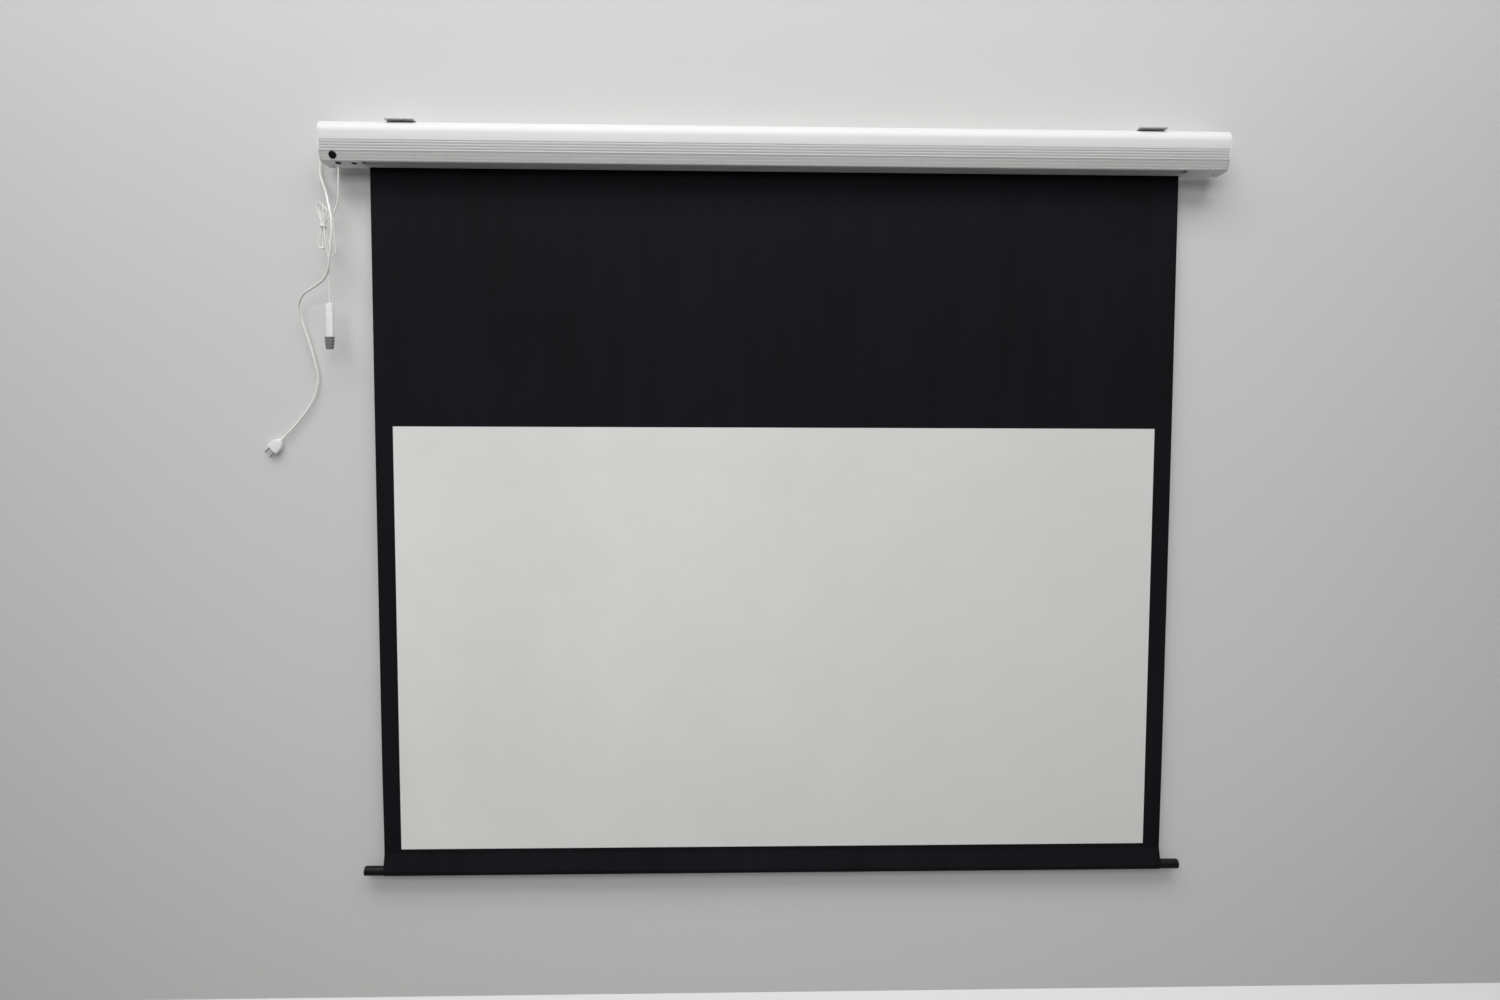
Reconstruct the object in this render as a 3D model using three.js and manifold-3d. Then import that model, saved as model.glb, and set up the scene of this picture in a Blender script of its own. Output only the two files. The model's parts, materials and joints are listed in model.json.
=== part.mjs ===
// A wall-hung motorised projection screen, shown fully lowered.
// Lengths are real millimetres. X runs along the case, Y goes into the wall and Z is up.
// The origin is on the wall, halfway along the case, level with the brackets' wall slots.
import * as THREE from 'three';
import { mergeVertices } from 'three/addons/utils/BufferGeometryUtils.js';
import Module from 'manifold-3d';

const wasm = await Module();
wasm.setup();

// Clearances
const gap = 0.3; // between neighbours that touch
const overrun = 6; // how far a cutter passes beyond what it cuts

// Cloth: a 100 inch, 16:9 white area with black borders round it
const image = { width: 2214, height: 1245 };
const border = { side: 50, drop: 728, foot: 15 }; // drop is the black seen above the white
const cloth = { thick: 0.45, hemHeight: 49, slotEntry: 3 }; // hemHeight is from the bar's centre

// Case: an extruded aluminium section, drawn as depth from its rear and height from its underside
const shell = { beyondCloth: 109, beforeRoller: 11.675, aboveRoller: 28.1, wall: 1.8, standOff: 20 };
const shoulder = { depth: 34, height: 34 }; // quarter ellipse from the flat top to the nose
const face = { lean: 5.5, foot: 27, step: 1, stepHeight: 0.8, facetLean: 9, facetFoot: 1.2 };
const corner = { top: 4, rear: 6 };
const reed = { bandHeight: 30, faceCount: 4, facetCount: 3, width: 1.6, depth: 0.8 };
const groove = { width: 25.8, lip: 2.5, depth: 11 };
const slot = { rear: 3.5, front: 12.5, guide: 8 };
const rail = { centre: 30, opening: 8, width: 16, depth: 4.8 };
const port = { boss: 3.6, bore: 1.5, fromTop: 4.6, pastFlat: 2.5, fromFace: 4.6, aboveFoot: 7 };
const cap = { thick: 4, margin: 0.6, round: 1.4 };
const capScrew = { head: 3.2, headHeight: 1.8, shank: 1.2, length: 14 };
const cover = { beyondHead: 12.4, thick: 2.4 };
const coverScrew = { head: 3.4, headHeight: 1.4, shank: 1.6, length: 9, fromEnd: 14, depth: 20 };
const eye = { radius: 10.7, thick: 2.4, dome: 1.2, fromEnd: 32, height: 15.2 };
const eyeBoard = { width: 24, height: 13, thick: 1.6 };

// Roller and what turns with it; its height is above the case's underside
const roller = { radius: 28, wall: 1.2, height: 55, fromHead: 4.4, fromEnd: 31 };
const keyway = { width: 5, depth: 4 };
const turns = { clear: 0.3, thick: 0.6 };
const spline = { radius: 1.5 };
const crown = { length: 17, wall: 4.7 }; // its least wall, under the keyway
const wheel = { length: 24 };
const shaft = { side: 10, edge: 1 };
const idlerPlug = { length: 30, flange: 3 };
const idlerPin = { radius: 6, grip: 22 };
const bush = { wall: 1.4, flange: 10.5, flangeThick: 1.5 };
const endPlate = { thick: 3, rear: 10, belowTop: 20, foot: 3, footLength: 26 };

// Tubular motor, fixed at the left end and reaching into the roller
const motorHead = { radius: 24, length: 90 };
const motorTube = { wall: 1 };
const motorInside = { capacitor: 70, brake: 40, windings: 120, gearbox: 250, apart: 4, endRoom: 39.7 };
const limitScrew = { head: 2.6, headHeight: 3, shank: 1.9, length: 12, apart: 9, proud: 1.5 };
const limitHole = { radius: 6.2, fromHeadEnd: 11.6, beforeAxis: 8.6 };

// Housing for the receiver's relays, above the roller
const housing = { length: 170, depth: 18, height: 12.2, wall: 1.2, fromEnd: 76, behindPort: 4.5 };
const relayBoard = { thick: 1.6 };

// Weight bar
const bar = { radius: 14, wall: 1.2, beyondCloth: 53, capThick: 4, capRound: 2, spigot: 12 };

// Wall brackets: an angle over the top of the case, bolted to the rail in the case's top
const bracket = { fromEnd: 216, width: 80, thick: 3, behindFace: 4, drop: 80, bend: 5 };
const wallSlot = { below: 38.3, apart: 44, radius: 4, length: 18 };
const clampBolt = { head: 14, headHeight: 3.8, radius: 2.9, top: 9 };
const clampSlot = { radius: 3.6, length: 20 };
const clampNut = { acrossFlats: 10, height: 5 };

// Mains lead: spare length coiled behind the case, then the free lead and its plug
const mains = { radius: 3.2, sides: 8, step: 16 };
const gland = { fromEnd: 28, stub: 5.4, flange: 9, flangeThick: 2, body: 5.6, tip: 4 };
const coil = { turns: 4.5, outer: 43, clear: 0.6, fromEnd: 61, drop: 51, offWall: 10.3 };
const coilTie = { width: 8, thick: 1, clear: 1 };
const plug = { length: 37, width: 35, thick: 13.6, shoulder: 15, relief: 12, reliefTip: 4 };
const plugPin = { radius: 2, length: 19, apart: 19, bridge: 5, bridgeDepth: 8 };

// Control cord: down from the case to a tied hank, then to the hand control; x is from the case's end
const control = { radius: 2, sides: 8, step: 9, fromEnd: 39.5, depth: 50 };
const grommet = { hole: 7, clear: 0.6, flange: 8.2, flangeThick: 1.2, nose: 3.4, noseHeight: 3 };
const hank = { loops: 3, layer: 5.6, waistX: -4, waistZ: -250, waistHalf: 2.7 };
const hankLower = { x: 13, z: -331, radius: 10, shiftX: -11, shiftZ: 9 }; // shifts are per loop
const hankUpper = { x: 2, z: -205, radius: 9.5, shiftX: -6.5, shiftZ: 7.5 };
const hankTie = { width: 9, thick: 0.8, clear: 0.9 };
const handset = { x: 7, top: -465, length: 92, width: 20, thick: 14, round: 3 };
const handsetEnd = { x: 4.5, length: 33, width: 24.5, tipWidth: 18, thick: 16, ribs: 4, ribDepth: 1 };

// Facets round a full circle, and other counts
const sides = { large: 32, small: 16, fine: 12 };
const coilSteps = { perTurn: 24, sides: 6 };

// Places worked out from the sizes above
const turnsInner = roller.radius + turns.clear;
const turnsOuter = turnsInner + turns.thick;
const clothDepth = (slot.rear + slot.front) / 2;
const rollerDepth = clothDepth + cloth.thick / 2 + gap + turnsOuter;
const caseDepth = rollerDepth + turnsOuter + shell.beforeRoller;
const caseHeight = roller.height + turnsOuter + shell.aboveRoller;
const caseTop = wallSlot.below - bracket.thick - gap;
const caseBottom = caseTop - caseHeight;
const wallRear = -shell.standOff; // the case's rear face
const halfCloth = image.width / 2 + border.side;
const halfShell = halfCloth + shell.beyondCloth;
const halfBar = halfCloth + bar.beyondCloth;
const imageTop = caseBottom - border.drop;
const imageBottom = imageTop - image.height;
const hemTop = imageBottom - border.foot;
const barHeight = hemTop - cloth.hemHeight;
const clothY = wallRear - clothDepth;
const rollerY = wallRear - rollerDepth;
const rollerZ = caseBottom + roller.height;
const depthAt = (d) => wallRear - d; // section depth to Y
const heightAt = (h) => caseBottom + h; // section height to Z

// Materials
const finish = (name, color, roughness, metalness = 0) =>
  new THREE.MeshStandardMaterial({ name, color, roughness, metalness });
const caseWhite = () => finish('case_white', 0xeceded, 0.45, 0.1);
const plasticWhite = () => finish('white_plastic', 0xe9eae8, 0.5);
const plasticGrey = () => finish('grey_plastic', 0x7c7d7b, 0.6);
const plasticBlack = () => finish('black_plastic', 0x121212, 0.4);
const rubberBlack = () => finish('black_rubber', 0x1c1c1c, 0.85);
const cordWhite = () => finish('white_cord', 0xe6e6e0, 0.55);
const clothBlack = () => finish('black_cloth', 0x131318, 0.9);
const clothWhite = () => finish('white_cloth', 0xdcdcd8, 0.95);
const barBlack = () => finish('bar_black', 0x151517, 0.4, 0.3);
const zinc = () => finish('zinc_steel', 0xa9adad, 0.42, 0.9);
const steel = () => finish('plain_steel', 0x8f9294, 0.35, 0.95);
const aluminium = () => finish('roller_aluminium', 0xb4b6b8, 0.4, 0.9);
const boardGreen = () => finish('board_green', 0x2f5f3c, 0.6);

// Scene graph helpers
const model = new THREE.Group();
model.name = 'projection_screen';

function group(name, place = [0, 0, 0], parent = model) {
  const made = new THREE.Group();
  made.name = name;
  made.position.set(...place);
  parent.add(made);
  return made;
}

function piece(parent, name, geometry, material, place = [0, 0, 0]) {
  const mesh = new THREE.Mesh(geometry, material);
  mesh.name = name;
  mesh.position.set(...place);
  parent.add(mesh);
  return mesh;
}

// Solid helpers
function toSolid(geometry) {
  const bare = geometry.clone();
  for (const name of Object.keys(bare.attributes)) if (name !== 'position') bare.deleteAttribute(name);
  const merged = mergeVertices(bare);
  return new wasm.Manifold(new wasm.Mesh({
    numProp: 3,
    vertProperties: new Float32Array(merged.attributes.position.array),
    triVerts: new Uint32Array(merged.index.array),
  }));
}

function toGeometry(solid) {
  const { vertProperties, triVerts } = solid.getMesh();
  const geometry = new THREE.BufferGeometry();
  geometry.setAttribute('position', new THREE.BufferAttribute(new Float32Array(vertProperties), 3));
  geometry.setIndex(new THREE.BufferAttribute(new Uint32Array(triVerts), 1));
  return geometry;
}

const cut = (geometry, ...cutters) =>
  toGeometry(cutters.reduce((solid, cutter) => solid.subtract(toSolid(cutter)), toSolid(geometry)));
const join = (geometry, ...others) =>
  toGeometry(others.reduce((solid, other) => solid.add(toSolid(other)), toSolid(geometry)));

// Mirrors a solid in the middle plane and keeps its faces pointing out
function mirrorX(geometry) {
  const mirrored = toGeometry(toSolid(geometry)).scale(-1, 1, 1);
  const corners = mirrored.index.array;
  for (let i = 0; i < corners.length; i += 3) {
    [corners[i], corners[i + 1]] = [corners[i + 1], corners[i]];
  }
  return mirrored;
}

// Outline helpers: every outline is a list of Vector2
const at = (x, y) => new THREE.Vector2(x, y);

function arc(centreX, centreY, radiusX, radiusY, from, to, steps) {
  return Array.from({ length: steps + 1 }, (_, i) => {
    const angle = THREE.MathUtils.degToRad(from + ((to - from) * i) / steps);
    return at(centreX + radiusX * Math.cos(angle), centreY + radiusY * Math.sin(angle));
  });
}

const circle = (radius, count = sides.large) => arc(0, 0, radius, radius, 0, 360 - 360 / count, count - 1);
const circleAt = (place, radius, count = sides.small) =>
  circle(radius, count).map((point) => point.add(at(place.d, place.h)));
const rectangle = (x0, y0, x1, y1) => [at(x0, y0), at(x1, y0), at(x1, y1), at(x0, y1)];

function roundedRectangle(width, height, radius, steps = 4) {
  const x = width / 2 - radius;
  const y = height / 2 - radius;
  return [
    ...arc(x, y, radius, radius, 0, 90, steps), ...arc(-x, y, radius, radius, 90, 180, steps),
    ...arc(-x, -y, radius, radius, 180, 270, steps), ...arc(x, -y, radius, radius, 270, 360, steps),
  ];
}

// A slot with round ends, its length along x
function stadium(radius, length, steps = 6) {
  const x = length / 2 - radius;
  return [...arc(x, 0, radius, radius, -90, 90, steps), ...arc(-x, 0, radius, radius, 90, 270, steps)];
}

// Moves each side of an outline inwards by one distance, or outwards by a negative one
function inset(points, distance) {
  const turn = THREE.ShapeUtils.isClockWise(points) ? 1 : -1;
  return points.map((point, i) => {
    const before = point.clone().sub(points.at(i - 1)).normalize();
    const after = points[(i + 1) % points.length].clone().sub(point).normalize();
    const inward = at(before.y + after.y, -before.x - after.x).normalize().multiplyScalar(turn);
    const share = (inward.x * before.y - inward.y * before.x) * turn;
    return point.clone().add(inward.multiplyScalar(distance / share));
  });
}

// Shape helpers
function extrude(outline, length, holes = []) {
  const shape = new THREE.Shape(outline);
  shape.holes = holes.map((hole) => new THREE.Path(hole));
  return new THREE.ExtrudeGeometry(shape, { depth: length, bevelEnabled: false });
}

// Skins a stack of outlines that have the same number of points, each at its own place along Z
function loft(rings) {
  const count = rings[0].outline.length;
  const turned = THREE.ShapeUtils.isClockWise(rings[0].outline);
  const outlines = rings.map(({ outline }) => (turned ? [...outline].reverse() : outline));
  const positions = outlines.flatMap((outline, ring) =>
    outline.flatMap((point) => [point.x, point.y, rings[ring].place]));
  const corners = [];
  for (let start = 0; start < (rings.length - 1) * count; start += count) {
    for (let i = 0; i < count; i += 1) {
      const [a, b] = [start + i, start + ((i + 1) % count)];
      corners.push(a, b, b + count, a, b + count, a + count);
    }
  }
  const last = (rings.length - 1) * count;
  for (const [a, b, c] of THREE.ShapeUtils.triangulateShape(outlines[0], [])) {
    corners.push(a, c, b, last + a, last + b, last + c);
  }
  const geometry = new THREE.BufferGeometry();
  geometry.setAttribute('position', new THREE.Float32BufferAttribute(positions, 3));
  geometry.setIndex(corners);
  return geometry;
}

// Stands a section (depth, height) up and runs it along -X from the origin
const sectionTurn = new THREE.Matrix4().makeBasis(
  new THREE.Vector3(0, -1, 0), new THREE.Vector3(0, 0, 1), new THREE.Vector3(-1, 0, 0));

const alongX = (outline, fromX, toX, holes = []) =>
  extrude(outline, toX - fromX, holes).applyMatrix4(sectionTurn).translate(toX, 0, 0);
const caseRun = (outline, fromX, toX) => alongX(outline, fromX, toX).translate(0, wallRear, caseBottom);

// Solids of revolution from [radius, place] pairs
const lathe = (profile, count) =>
  new THREE.LatheGeometry(profile.map(([radius, place]) => at(radius, place)), count);
const aboutY = (profile, count = sides.small) => lathe(profile, count);
const aboutX = (profile, count = sides.large) => lathe(profile, count).rotateZ(-Math.PI / 2);
const aboutZ = (profile, count = sides.small) => lathe(profile, count).rotateX(Math.PI / 2);
const rod = (radius, from, to) => [[0, from], [radius, from], [radius, to], [0, to]];
const sleeve = (inner, outer, from, to) =>
  [[inner, from], [outer, from], [outer, to], [inner, to], [inner, from]];

function block(x0, y0, z0, x1, y1, z1) {
  return new THREE.BoxGeometry(x1 - x0, y1 - y0, z1 - z0)
    .translate((x0 + x1) / 2, (y0 + y1) / 2, (z0 + z1) / 2);
}

// Cord helpers
const toVectors = (route) => route.map((place) => new THREE.Vector3(...place));
const splineThrough = (points) => new THREE.CatmullRomCurve3(points, false, 'centripetal');

function cordTube(curve, radius, count, steps) {
  const shape = new THREE.Shape(circle(radius, count));
  return new THREE.ExtrudeGeometry(shape, { steps, extrudePath: curve, bevelEnabled: false });
}

function leadTube(points, cord) {
  const curve = splineThrough(points);
  return cordTube(curve, cord.radius, cord.sides, Math.round(curve.getLength() / cord.step));
}

// Least clear space between stretches of a wound cord that are over three diameters apart along it
function leastSelfGap(curve, radius) {
  const points = curve.getSpacedPoints(Math.round(curve.getLength() / radius));
  const apartCount = 6;
  let least = Infinity;
  for (let i = 0; i < points.length; i += 1) {
    for (let j = i + apartCount; j < points.length; j += 1) {
      least = Math.min(least, points[i].distanceTo(points[j]));
    }
  }
  return least - radius * 2;
}

// Case section
function reededLine(from, to, count) {
  const step = to.clone().sub(from).divideScalar(count);
  const half = step.clone().setLength(reed.width / 2);
  const inward = at(step.y, -step.x).setLength(reed.depth);
  return Array.from({ length: count }, (_, i) => {
    const middle = from.clone().addScaledVector(step, i + 0.5);
    return [middle.clone().sub(half), middle.clone().add(inward), middle.clone().add(half)];
  }).flat();
}

const noseHeight = caseHeight - shoulder.height;
const flatEnd = caseDepth - shoulder.depth; // where the flat top ends
const bandTop = face.foot + reed.bandHeight;
const leanPower = 1.5; // how the face's lean grows towards its foot
const faceAt = (h) =>
  at(caseDepth - face.lean * ((noseHeight - h) / (noseHeight - face.foot)) ** leanPower, h);
const faceFoot = faceAt(face.foot);
const facetTop = at(faceFoot.x - face.step, faceFoot.y - face.stepHeight);
const facetFoot = at(facetTop.x - face.facetLean, face.facetFoot);
const grooveFront = facetFoot.x - face.facetFoot - groove.lip;
const grooveRear = grooveFront - groove.width;

// Screw ports that run along inside the case, one under its top and one behind its face
const lowerPort = faceAt(face.foot + port.aboveFoot);
const portPlaces = [
  { d: flatEnd + port.pastFlat, h: caseHeight - port.fromTop },
  { d: lowerPort.x - port.fromFace, h: lowerPort.y },
];

function caseOutline(reeded) {
  const plainFace = [faceAt((noseHeight + bandTop) / 2), faceAt(bandTop)];
  const curvedFace = [faceAt((bandTop * 2 + face.foot) / 3), faceAt((bandTop + face.foot * 2) / 3)];
  return [
    ...arc(corner.rear, corner.rear, corner.rear, corner.rear, 270, 180, 4),
    ...arc(corner.top, caseHeight - corner.top, corner.top, corner.top, 180, 90, 3),
    ...arc(flatEnd, noseHeight, shoulder.depth, shoulder.height, 90, 0, 10),
    ...plainFace,
    ...(reeded ? reededLine(faceAt(bandTop), faceFoot, reed.faceCount) : curvedFace),
    faceFoot,
    facetTop,
    ...(reeded ? reededLine(facetTop, facetFoot, reed.facetCount) : []),
    facetFoot,
    at(facetFoot.x - face.facetFoot, 0),
  ];
}

// Direction out of the lower facet, and the depth of the facet at a height
const facetSlope = (facetTop.x - facetFoot.x) / (facetTop.y - facetFoot.y);
const facetTilt = Math.atan(facetSlope);
const facetDepth = (h) => facetFoot.x + (h - facetFoot.y) * facetSlope;

// Puts a solid made about Z on the facet, with Z pointing out of it
function onFacet(geometry) {
  return geometry.rotateX(Math.PI / 2 + facetTilt)
    .translate(-halfShell + eye.fromEnd, depthAt(facetDepth(eye.height)), heightAt(eye.height));
}

const coilZ = caseTop - coil.drop;
const glandZ = coilZ - coil.outer;
const plateOuter = -halfShell + gap;
const plateInner = plateOuter + endPlate.thick;
const headStart = plateInner + gap;
const headEnd = headStart + motorHead.length;
const limitX = headEnd - limitHole.fromHeadEnd;
const limitDepth = rollerDepth + limitHole.beforeAxis;
const controlX = -halfShell + control.fromEnd;
const controlY = depthAt(control.depth);
const coverRear = slot.rear + gap;
const coverEnd = headEnd + cover.beyondHead;

function caseShell() {
  const through = (outline) => caseRun(outline, -halfShell - overrun, halfShell + overrun);
  const { wall } = shell;
  const railTop = caseHeight - wall;
  const railBottom = railTop - rail.depth;
  const railOutline = (halfWidth, from, to) =>
    rectangle(rail.centre - halfWidth, from, rail.centre + halfWidth, to);
  const cavity = cut(through(inset(caseOutline(false), wall)),
    through(rectangle(grooveRear - wall, 0, grooveFront + wall, groove.depth + wall)),
    through(rectangle(slot.front, 0, slot.front + wall, slot.guide)),
    through(railOutline(rail.width / 2 + wall, railBottom - wall, caseHeight)),
    ...portPlaces.map((place) => through(circleAt(place, port.boss))));
  const endOpening = rectangle(slot.rear, -overrun, grooveFront + gap, groove.depth + wall * 2);
  return cut(caseRun(caseOutline(true), -halfShell, halfShell), cavity,
    through(rectangle(grooveRear, -overrun, grooveFront, groove.depth)),
    through(rectangle(slot.rear, -overrun, slot.front, corner.rear)),
    through(railOutline(rail.opening / 2, railTop - gap, caseHeight + overrun)),
    through(railOutline(rail.width / 2, railBottom, railTop)),
    ...portPlaces.map((place) => through(circleAt(place, port.bore, sides.fine))),
    caseRun(endOpening, -halfShell - overrun, coverEnd),
    caseRun(endOpening, -coverEnd, halfShell + overrun),
    onFacet(aboutZ(rod(eye.radius + gap, -eye.thick - gap, overrun), sides.large)),
    aboutY(rod(gland.stub + gap, -overrun, overrun))
      .translate(-halfShell + gland.fromEnd, wallRear, glandZ));
}

// A round hole along Z, at a place along the case and a depth from its rear
const verticalHole = (x, d, radius) =>
  aboutZ(rod(radius, heightAt(-overrun), heightAt(overrun * 2))).translate(x, depthAt(d), 0);

function coverPlate(...holes) {
  const plate = caseRun(rectangle(coverRear, 0, grooveFront, cover.thick), plateOuter, coverEnd - gap);
  const screwHole = verticalHole(-halfShell + coverScrew.fromEnd, coverScrew.depth, coverScrew.shank + gap);
  return cut(plate, screwHole, ...holes);
}

function endCap() {
  const outline = inset(caseOutline(false), -cap.margin);
  const rounded = [1, 2].map((i) => THREE.MathUtils.degToRad(45 * i)).map((angle) => ({
    outline: inset(outline, cap.round * (1 - Math.cos(angle))),
    place: cap.thick - cap.round * (1 - Math.sin(angle)),
  }));
  const body = loft([{ outline, place: 0 }, { outline, place: cap.thick - cap.round }, ...rounded])
    .applyMatrix4(sectionTurn).translate(-halfShell - gap, wallRear, caseBottom);
  return cut(body, ...portPlaces.map((place) =>
    caseRun(circleAt(place, port.bore), -halfShell - cap.thick - overrun, -halfShell + overrun)));
}

function capScrewShape() {
  const seat = -cap.thick - gap * 2;
  return aboutX([[0, seat - capScrew.headHeight], [capScrew.head / 2, seat - capScrew.headHeight],
    [capScrew.head, seat], [capScrew.shank, seat], [capScrew.shank, seat + capScrew.length],
    [0, seat + capScrew.length]], sides.fine);
}

function coverScrewShape() {
  return aboutZ([[0, -gap - coverScrew.headHeight], [coverScrew.head / 2, -gap - coverScrew.headHeight],
    [coverScrew.head, -gap], [coverScrew.shank, -gap], [coverScrew.shank, coverScrew.length],
    [0, coverScrew.length]], sides.fine);
}

// The steel plate inside an end carries the motor head or the idler's bush
const plateHole = idlerPin.radius + gap + bush.wall + gap;

function endPlateShape() {
  const floor = cover.thick + gap;
  const front = grooveFront - gap * 2;
  const upright = caseRun(rectangle(endPlate.rear, floor, front, caseHeight - endPlate.belowTop),
    plateOuter, plateInner);
  const foot = caseRun(rectangle(endPlate.rear, floor, front, floor + endPlate.foot),
    plateOuter, plateOuter + endPlate.footLength);
  return cut(join(upright, foot),
    aboutX(rod(plateHole, plateOuter - overrun, plateInner + overrun), sides.small)
      .translate(0, rollerY, rollerZ),
    verticalHole(-halfShell + coverScrew.fromEnd, coverScrew.depth, coverScrew.shank + gap));
}

const caseGroup = group('case');
piece(caseGroup, 'case_shell', caseShell(), caseWhite());
piece(caseGroup, 'cover_plate_left', coverPlate(
  verticalHole(limitX, limitDepth, limitHole.radius),
  verticalHole(controlX, control.depth, grommet.hole)), plasticWhite());
piece(caseGroup, 'cover_plate_right', mirrorX(coverPlate()), plasticWhite());
for (const side of ['left', 'right']) {
  const sided = side === 'left' ? (geometry) => geometry : mirrorX;
  const sign = side === 'left' ? 1 : -1;
  piece(caseGroup, `end_cap_${side}`, sided(endCap()), plasticWhite());
  piece(caseGroup, `end_plate_${side}`, sided(endPlateShape()), zinc());
  portPlaces.forEach((place, i) => {
    piece(caseGroup, `cap_screw_${side}_${i + 1}`, sided(capScrewShape()), steel(),
      [-sign * halfShell, depthAt(place.d), heightAt(place.h)]);
  });
  piece(caseGroup, `cover_screw_${side}`, coverScrewShape(), steel(),
    [-sign * (halfShell - coverScrew.fromEnd), depthAt(coverScrew.depth), caseBottom]);
}

// Window for the remote control in the lower facet, with its board behind it
function windowShape() {
  return onFacet(aboutZ([[0, -eye.thick], [eye.radius, -eye.thick], [eye.radius, 0],
    [eye.radius / 2, eye.dome], [0, eye.dome]], 24));
}

function windowBoardShape() {
  const front = -eye.thick - gap;
  return onFacet(block(-eyeBoard.width / 2, -eyeBoard.height / 2, front - eyeBoard.thick,
    eyeBoard.width / 2, eyeBoard.height / 2, front));
}

piece(caseGroup, 'sensor_window', windowShape(), plasticBlack());
piece(caseGroup, 'sensor_board', windowBoardShape(), boardGreen());

// Housing and its board, hung under the case's upper screw port
const housingTop = portPlaces[0].h - port.boss - gap;
const housingBottom = housingTop - housing.height;
const housingRear = portPlaces[0].d - housing.behindPort;
const housingFront = housingRear + housing.depth;
const housingStart = -halfShell + housing.fromEnd;
const housingEnd = housingStart + housing.length;

function housingShape() {
  const { wall } = housing;
  const outside = rectangle(housingRear, housingBottom, housingFront, housingTop);
  const inside = rectangle(housingRear + wall, housingBottom + wall,
    housingFront - wall, housingTop + overrun);
  return cut(caseRun(outside, housingStart, housingEnd),
    caseRun(inside, housingStart + wall, housingEnd - wall));
}

function relayBoardShape() {
  const inner = housing.wall + gap;
  const floor = housingBottom + inner;
  return caseRun(rectangle(housingRear + inner, floor, housingFront - inner, floor + relayBoard.thick),
    housingStart + inner, housingEnd - inner);
}

piece(caseGroup, 'control_housing', housingShape(), plasticGrey());
piece(caseGroup, 'control_board', relayBoardShape(), boardGreen());

// Motor, drawn about the roller's axis
const motorGroup = group('motor', [0, rollerY, rollerZ]);
const motorRadius = roller.radius - keyway.depth - roller.wall - crown.wall - gap * 2;
const headUnderside = -Math.sqrt(motorHead.radius ** 2 - limitHole.beforeAxis ** 2);
const limitBase = headUnderside - limitScrew.proud;
const limitPlaces = [limitX - limitScrew.apart / 2, limitX + limitScrew.apart / 2];

function motorHeadShape() {
  const stub = plateHole - gap;
  const body = aboutX([[0, plateOuter], [stub, plateOuter], [stub, headStart], [motorHead.radius, headStart],
    [motorHead.radius, headEnd], [0, headEnd]]);
  const bores = limitPlaces.flatMap((x) => [
    rod(limitScrew.shank + gap, limitBase - overrun, limitBase + limitScrew.length + gap),
    rod(limitScrew.head + gap, limitBase - overrun, limitBase + limitScrew.headHeight + gap),
  ].map((profile) => aboutZ(profile, sides.fine).translate(x, -limitHole.beforeAxis, 0)));
  return cut(body, ...bores);
}

function limitScrewShape() {
  const { head, headHeight, shank, length } = limitScrew;
  return aboutZ([[0, 0], [head, 0], [head, headHeight], [shank, headHeight], [shank, length], [0, length]],
    sides.fine);
}

piece(motorGroup, 'motor_head', motorHeadShape(), plasticBlack());
['limit_screw_up', 'limit_screw_down'].forEach((name, i) => {
  piece(motorGroup, name, limitScrewShape(), zinc(), [limitPlaces[i], -limitHole.beforeAxis, limitBase]);
});

// The cylinders inside the motor tube, in their order from the head, and the tube round them
let insideEnd = headEnd + gap;
for (const name of ['capacitor', 'brake', 'windings', 'gearbox']) {
  const radius = motorRadius - motorTube.wall - gap;
  const start = insideEnd + (name === 'capacitor' ? gap : motorInside.apart);
  insideEnd = start + motorInside[name];
  piece(motorGroup, `motor_${name}`, aboutX(rod(radius, start, insideEnd)),
    name === 'windings' ? aluminium() : plasticBlack());
}
const motorEnd = insideEnd + motorInside.endRoom;
piece(motorGroup, 'motor_tube', aboutX(sleeve(motorRadius - motorTube.wall, motorRadius,
  headEnd + gap, motorEnd)), steel());

function bushShape() {
  const inner = idlerPin.radius + gap;
  const shoulderStart = plateInner + gap;
  const flangeEnd = shoulderStart + bush.flangeThick;
  return aboutX([[inner, plateOuter], [inner + bush.wall, plateOuter], [inner + bush.wall, shoulderStart],
    [bush.flange, shoulderStart], [bush.flange, flangeEnd], [inner, flangeEnd], [inner, plateOuter]],
  sides.small);
}

piece(motorGroup, 'idler_bush', mirrorX(bushShape()), plasticWhite());

// Roller: a tube with a keyway that the notches of the wheels inside it fit
const rollerGroup = group('roller', [0, rollerY, rollerZ]);

function keyedCircle(radius, width, floorRadius) {
  const half = THREE.MathUtils.radToDeg(Math.asin(width / 2 / radius));
  return [...arc(0, 0, radius, radius, half, 360 - half, sides.large),
    at(floorRadius, -width / 2), at(floorRadius, width / 2)];
}

const keyFloor = roller.radius - keyway.depth;
const tubeInner = keyedCircle(roller.radius - roller.wall, keyway.width + roller.wall * 2,
  keyFloor - roller.wall);
const wheelOutline = keyedCircle(roller.radius - roller.wall - gap, keyway.width + (roller.wall + gap) * 2,
  keyFloor - roller.wall - gap);
const wheelStart = motorEnd + gap;
const wheelEnd = wheelStart + wheel.length;
const shaftHole = shaft.side + gap * 2;
const rollerEnd = halfShell - roller.fromEnd;

function idlerPlugShape() {
  const bore = circle(idlerPin.radius + gap);
  const flange = alongX(circle(roller.radius), rollerEnd + gap, rollerEnd + idlerPlug.flange, [bore]);
  return join(alongX(wheelOutline, rollerEnd - idlerPlug.length, rollerEnd + gap * 2, [bore]), flange);
}

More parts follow.
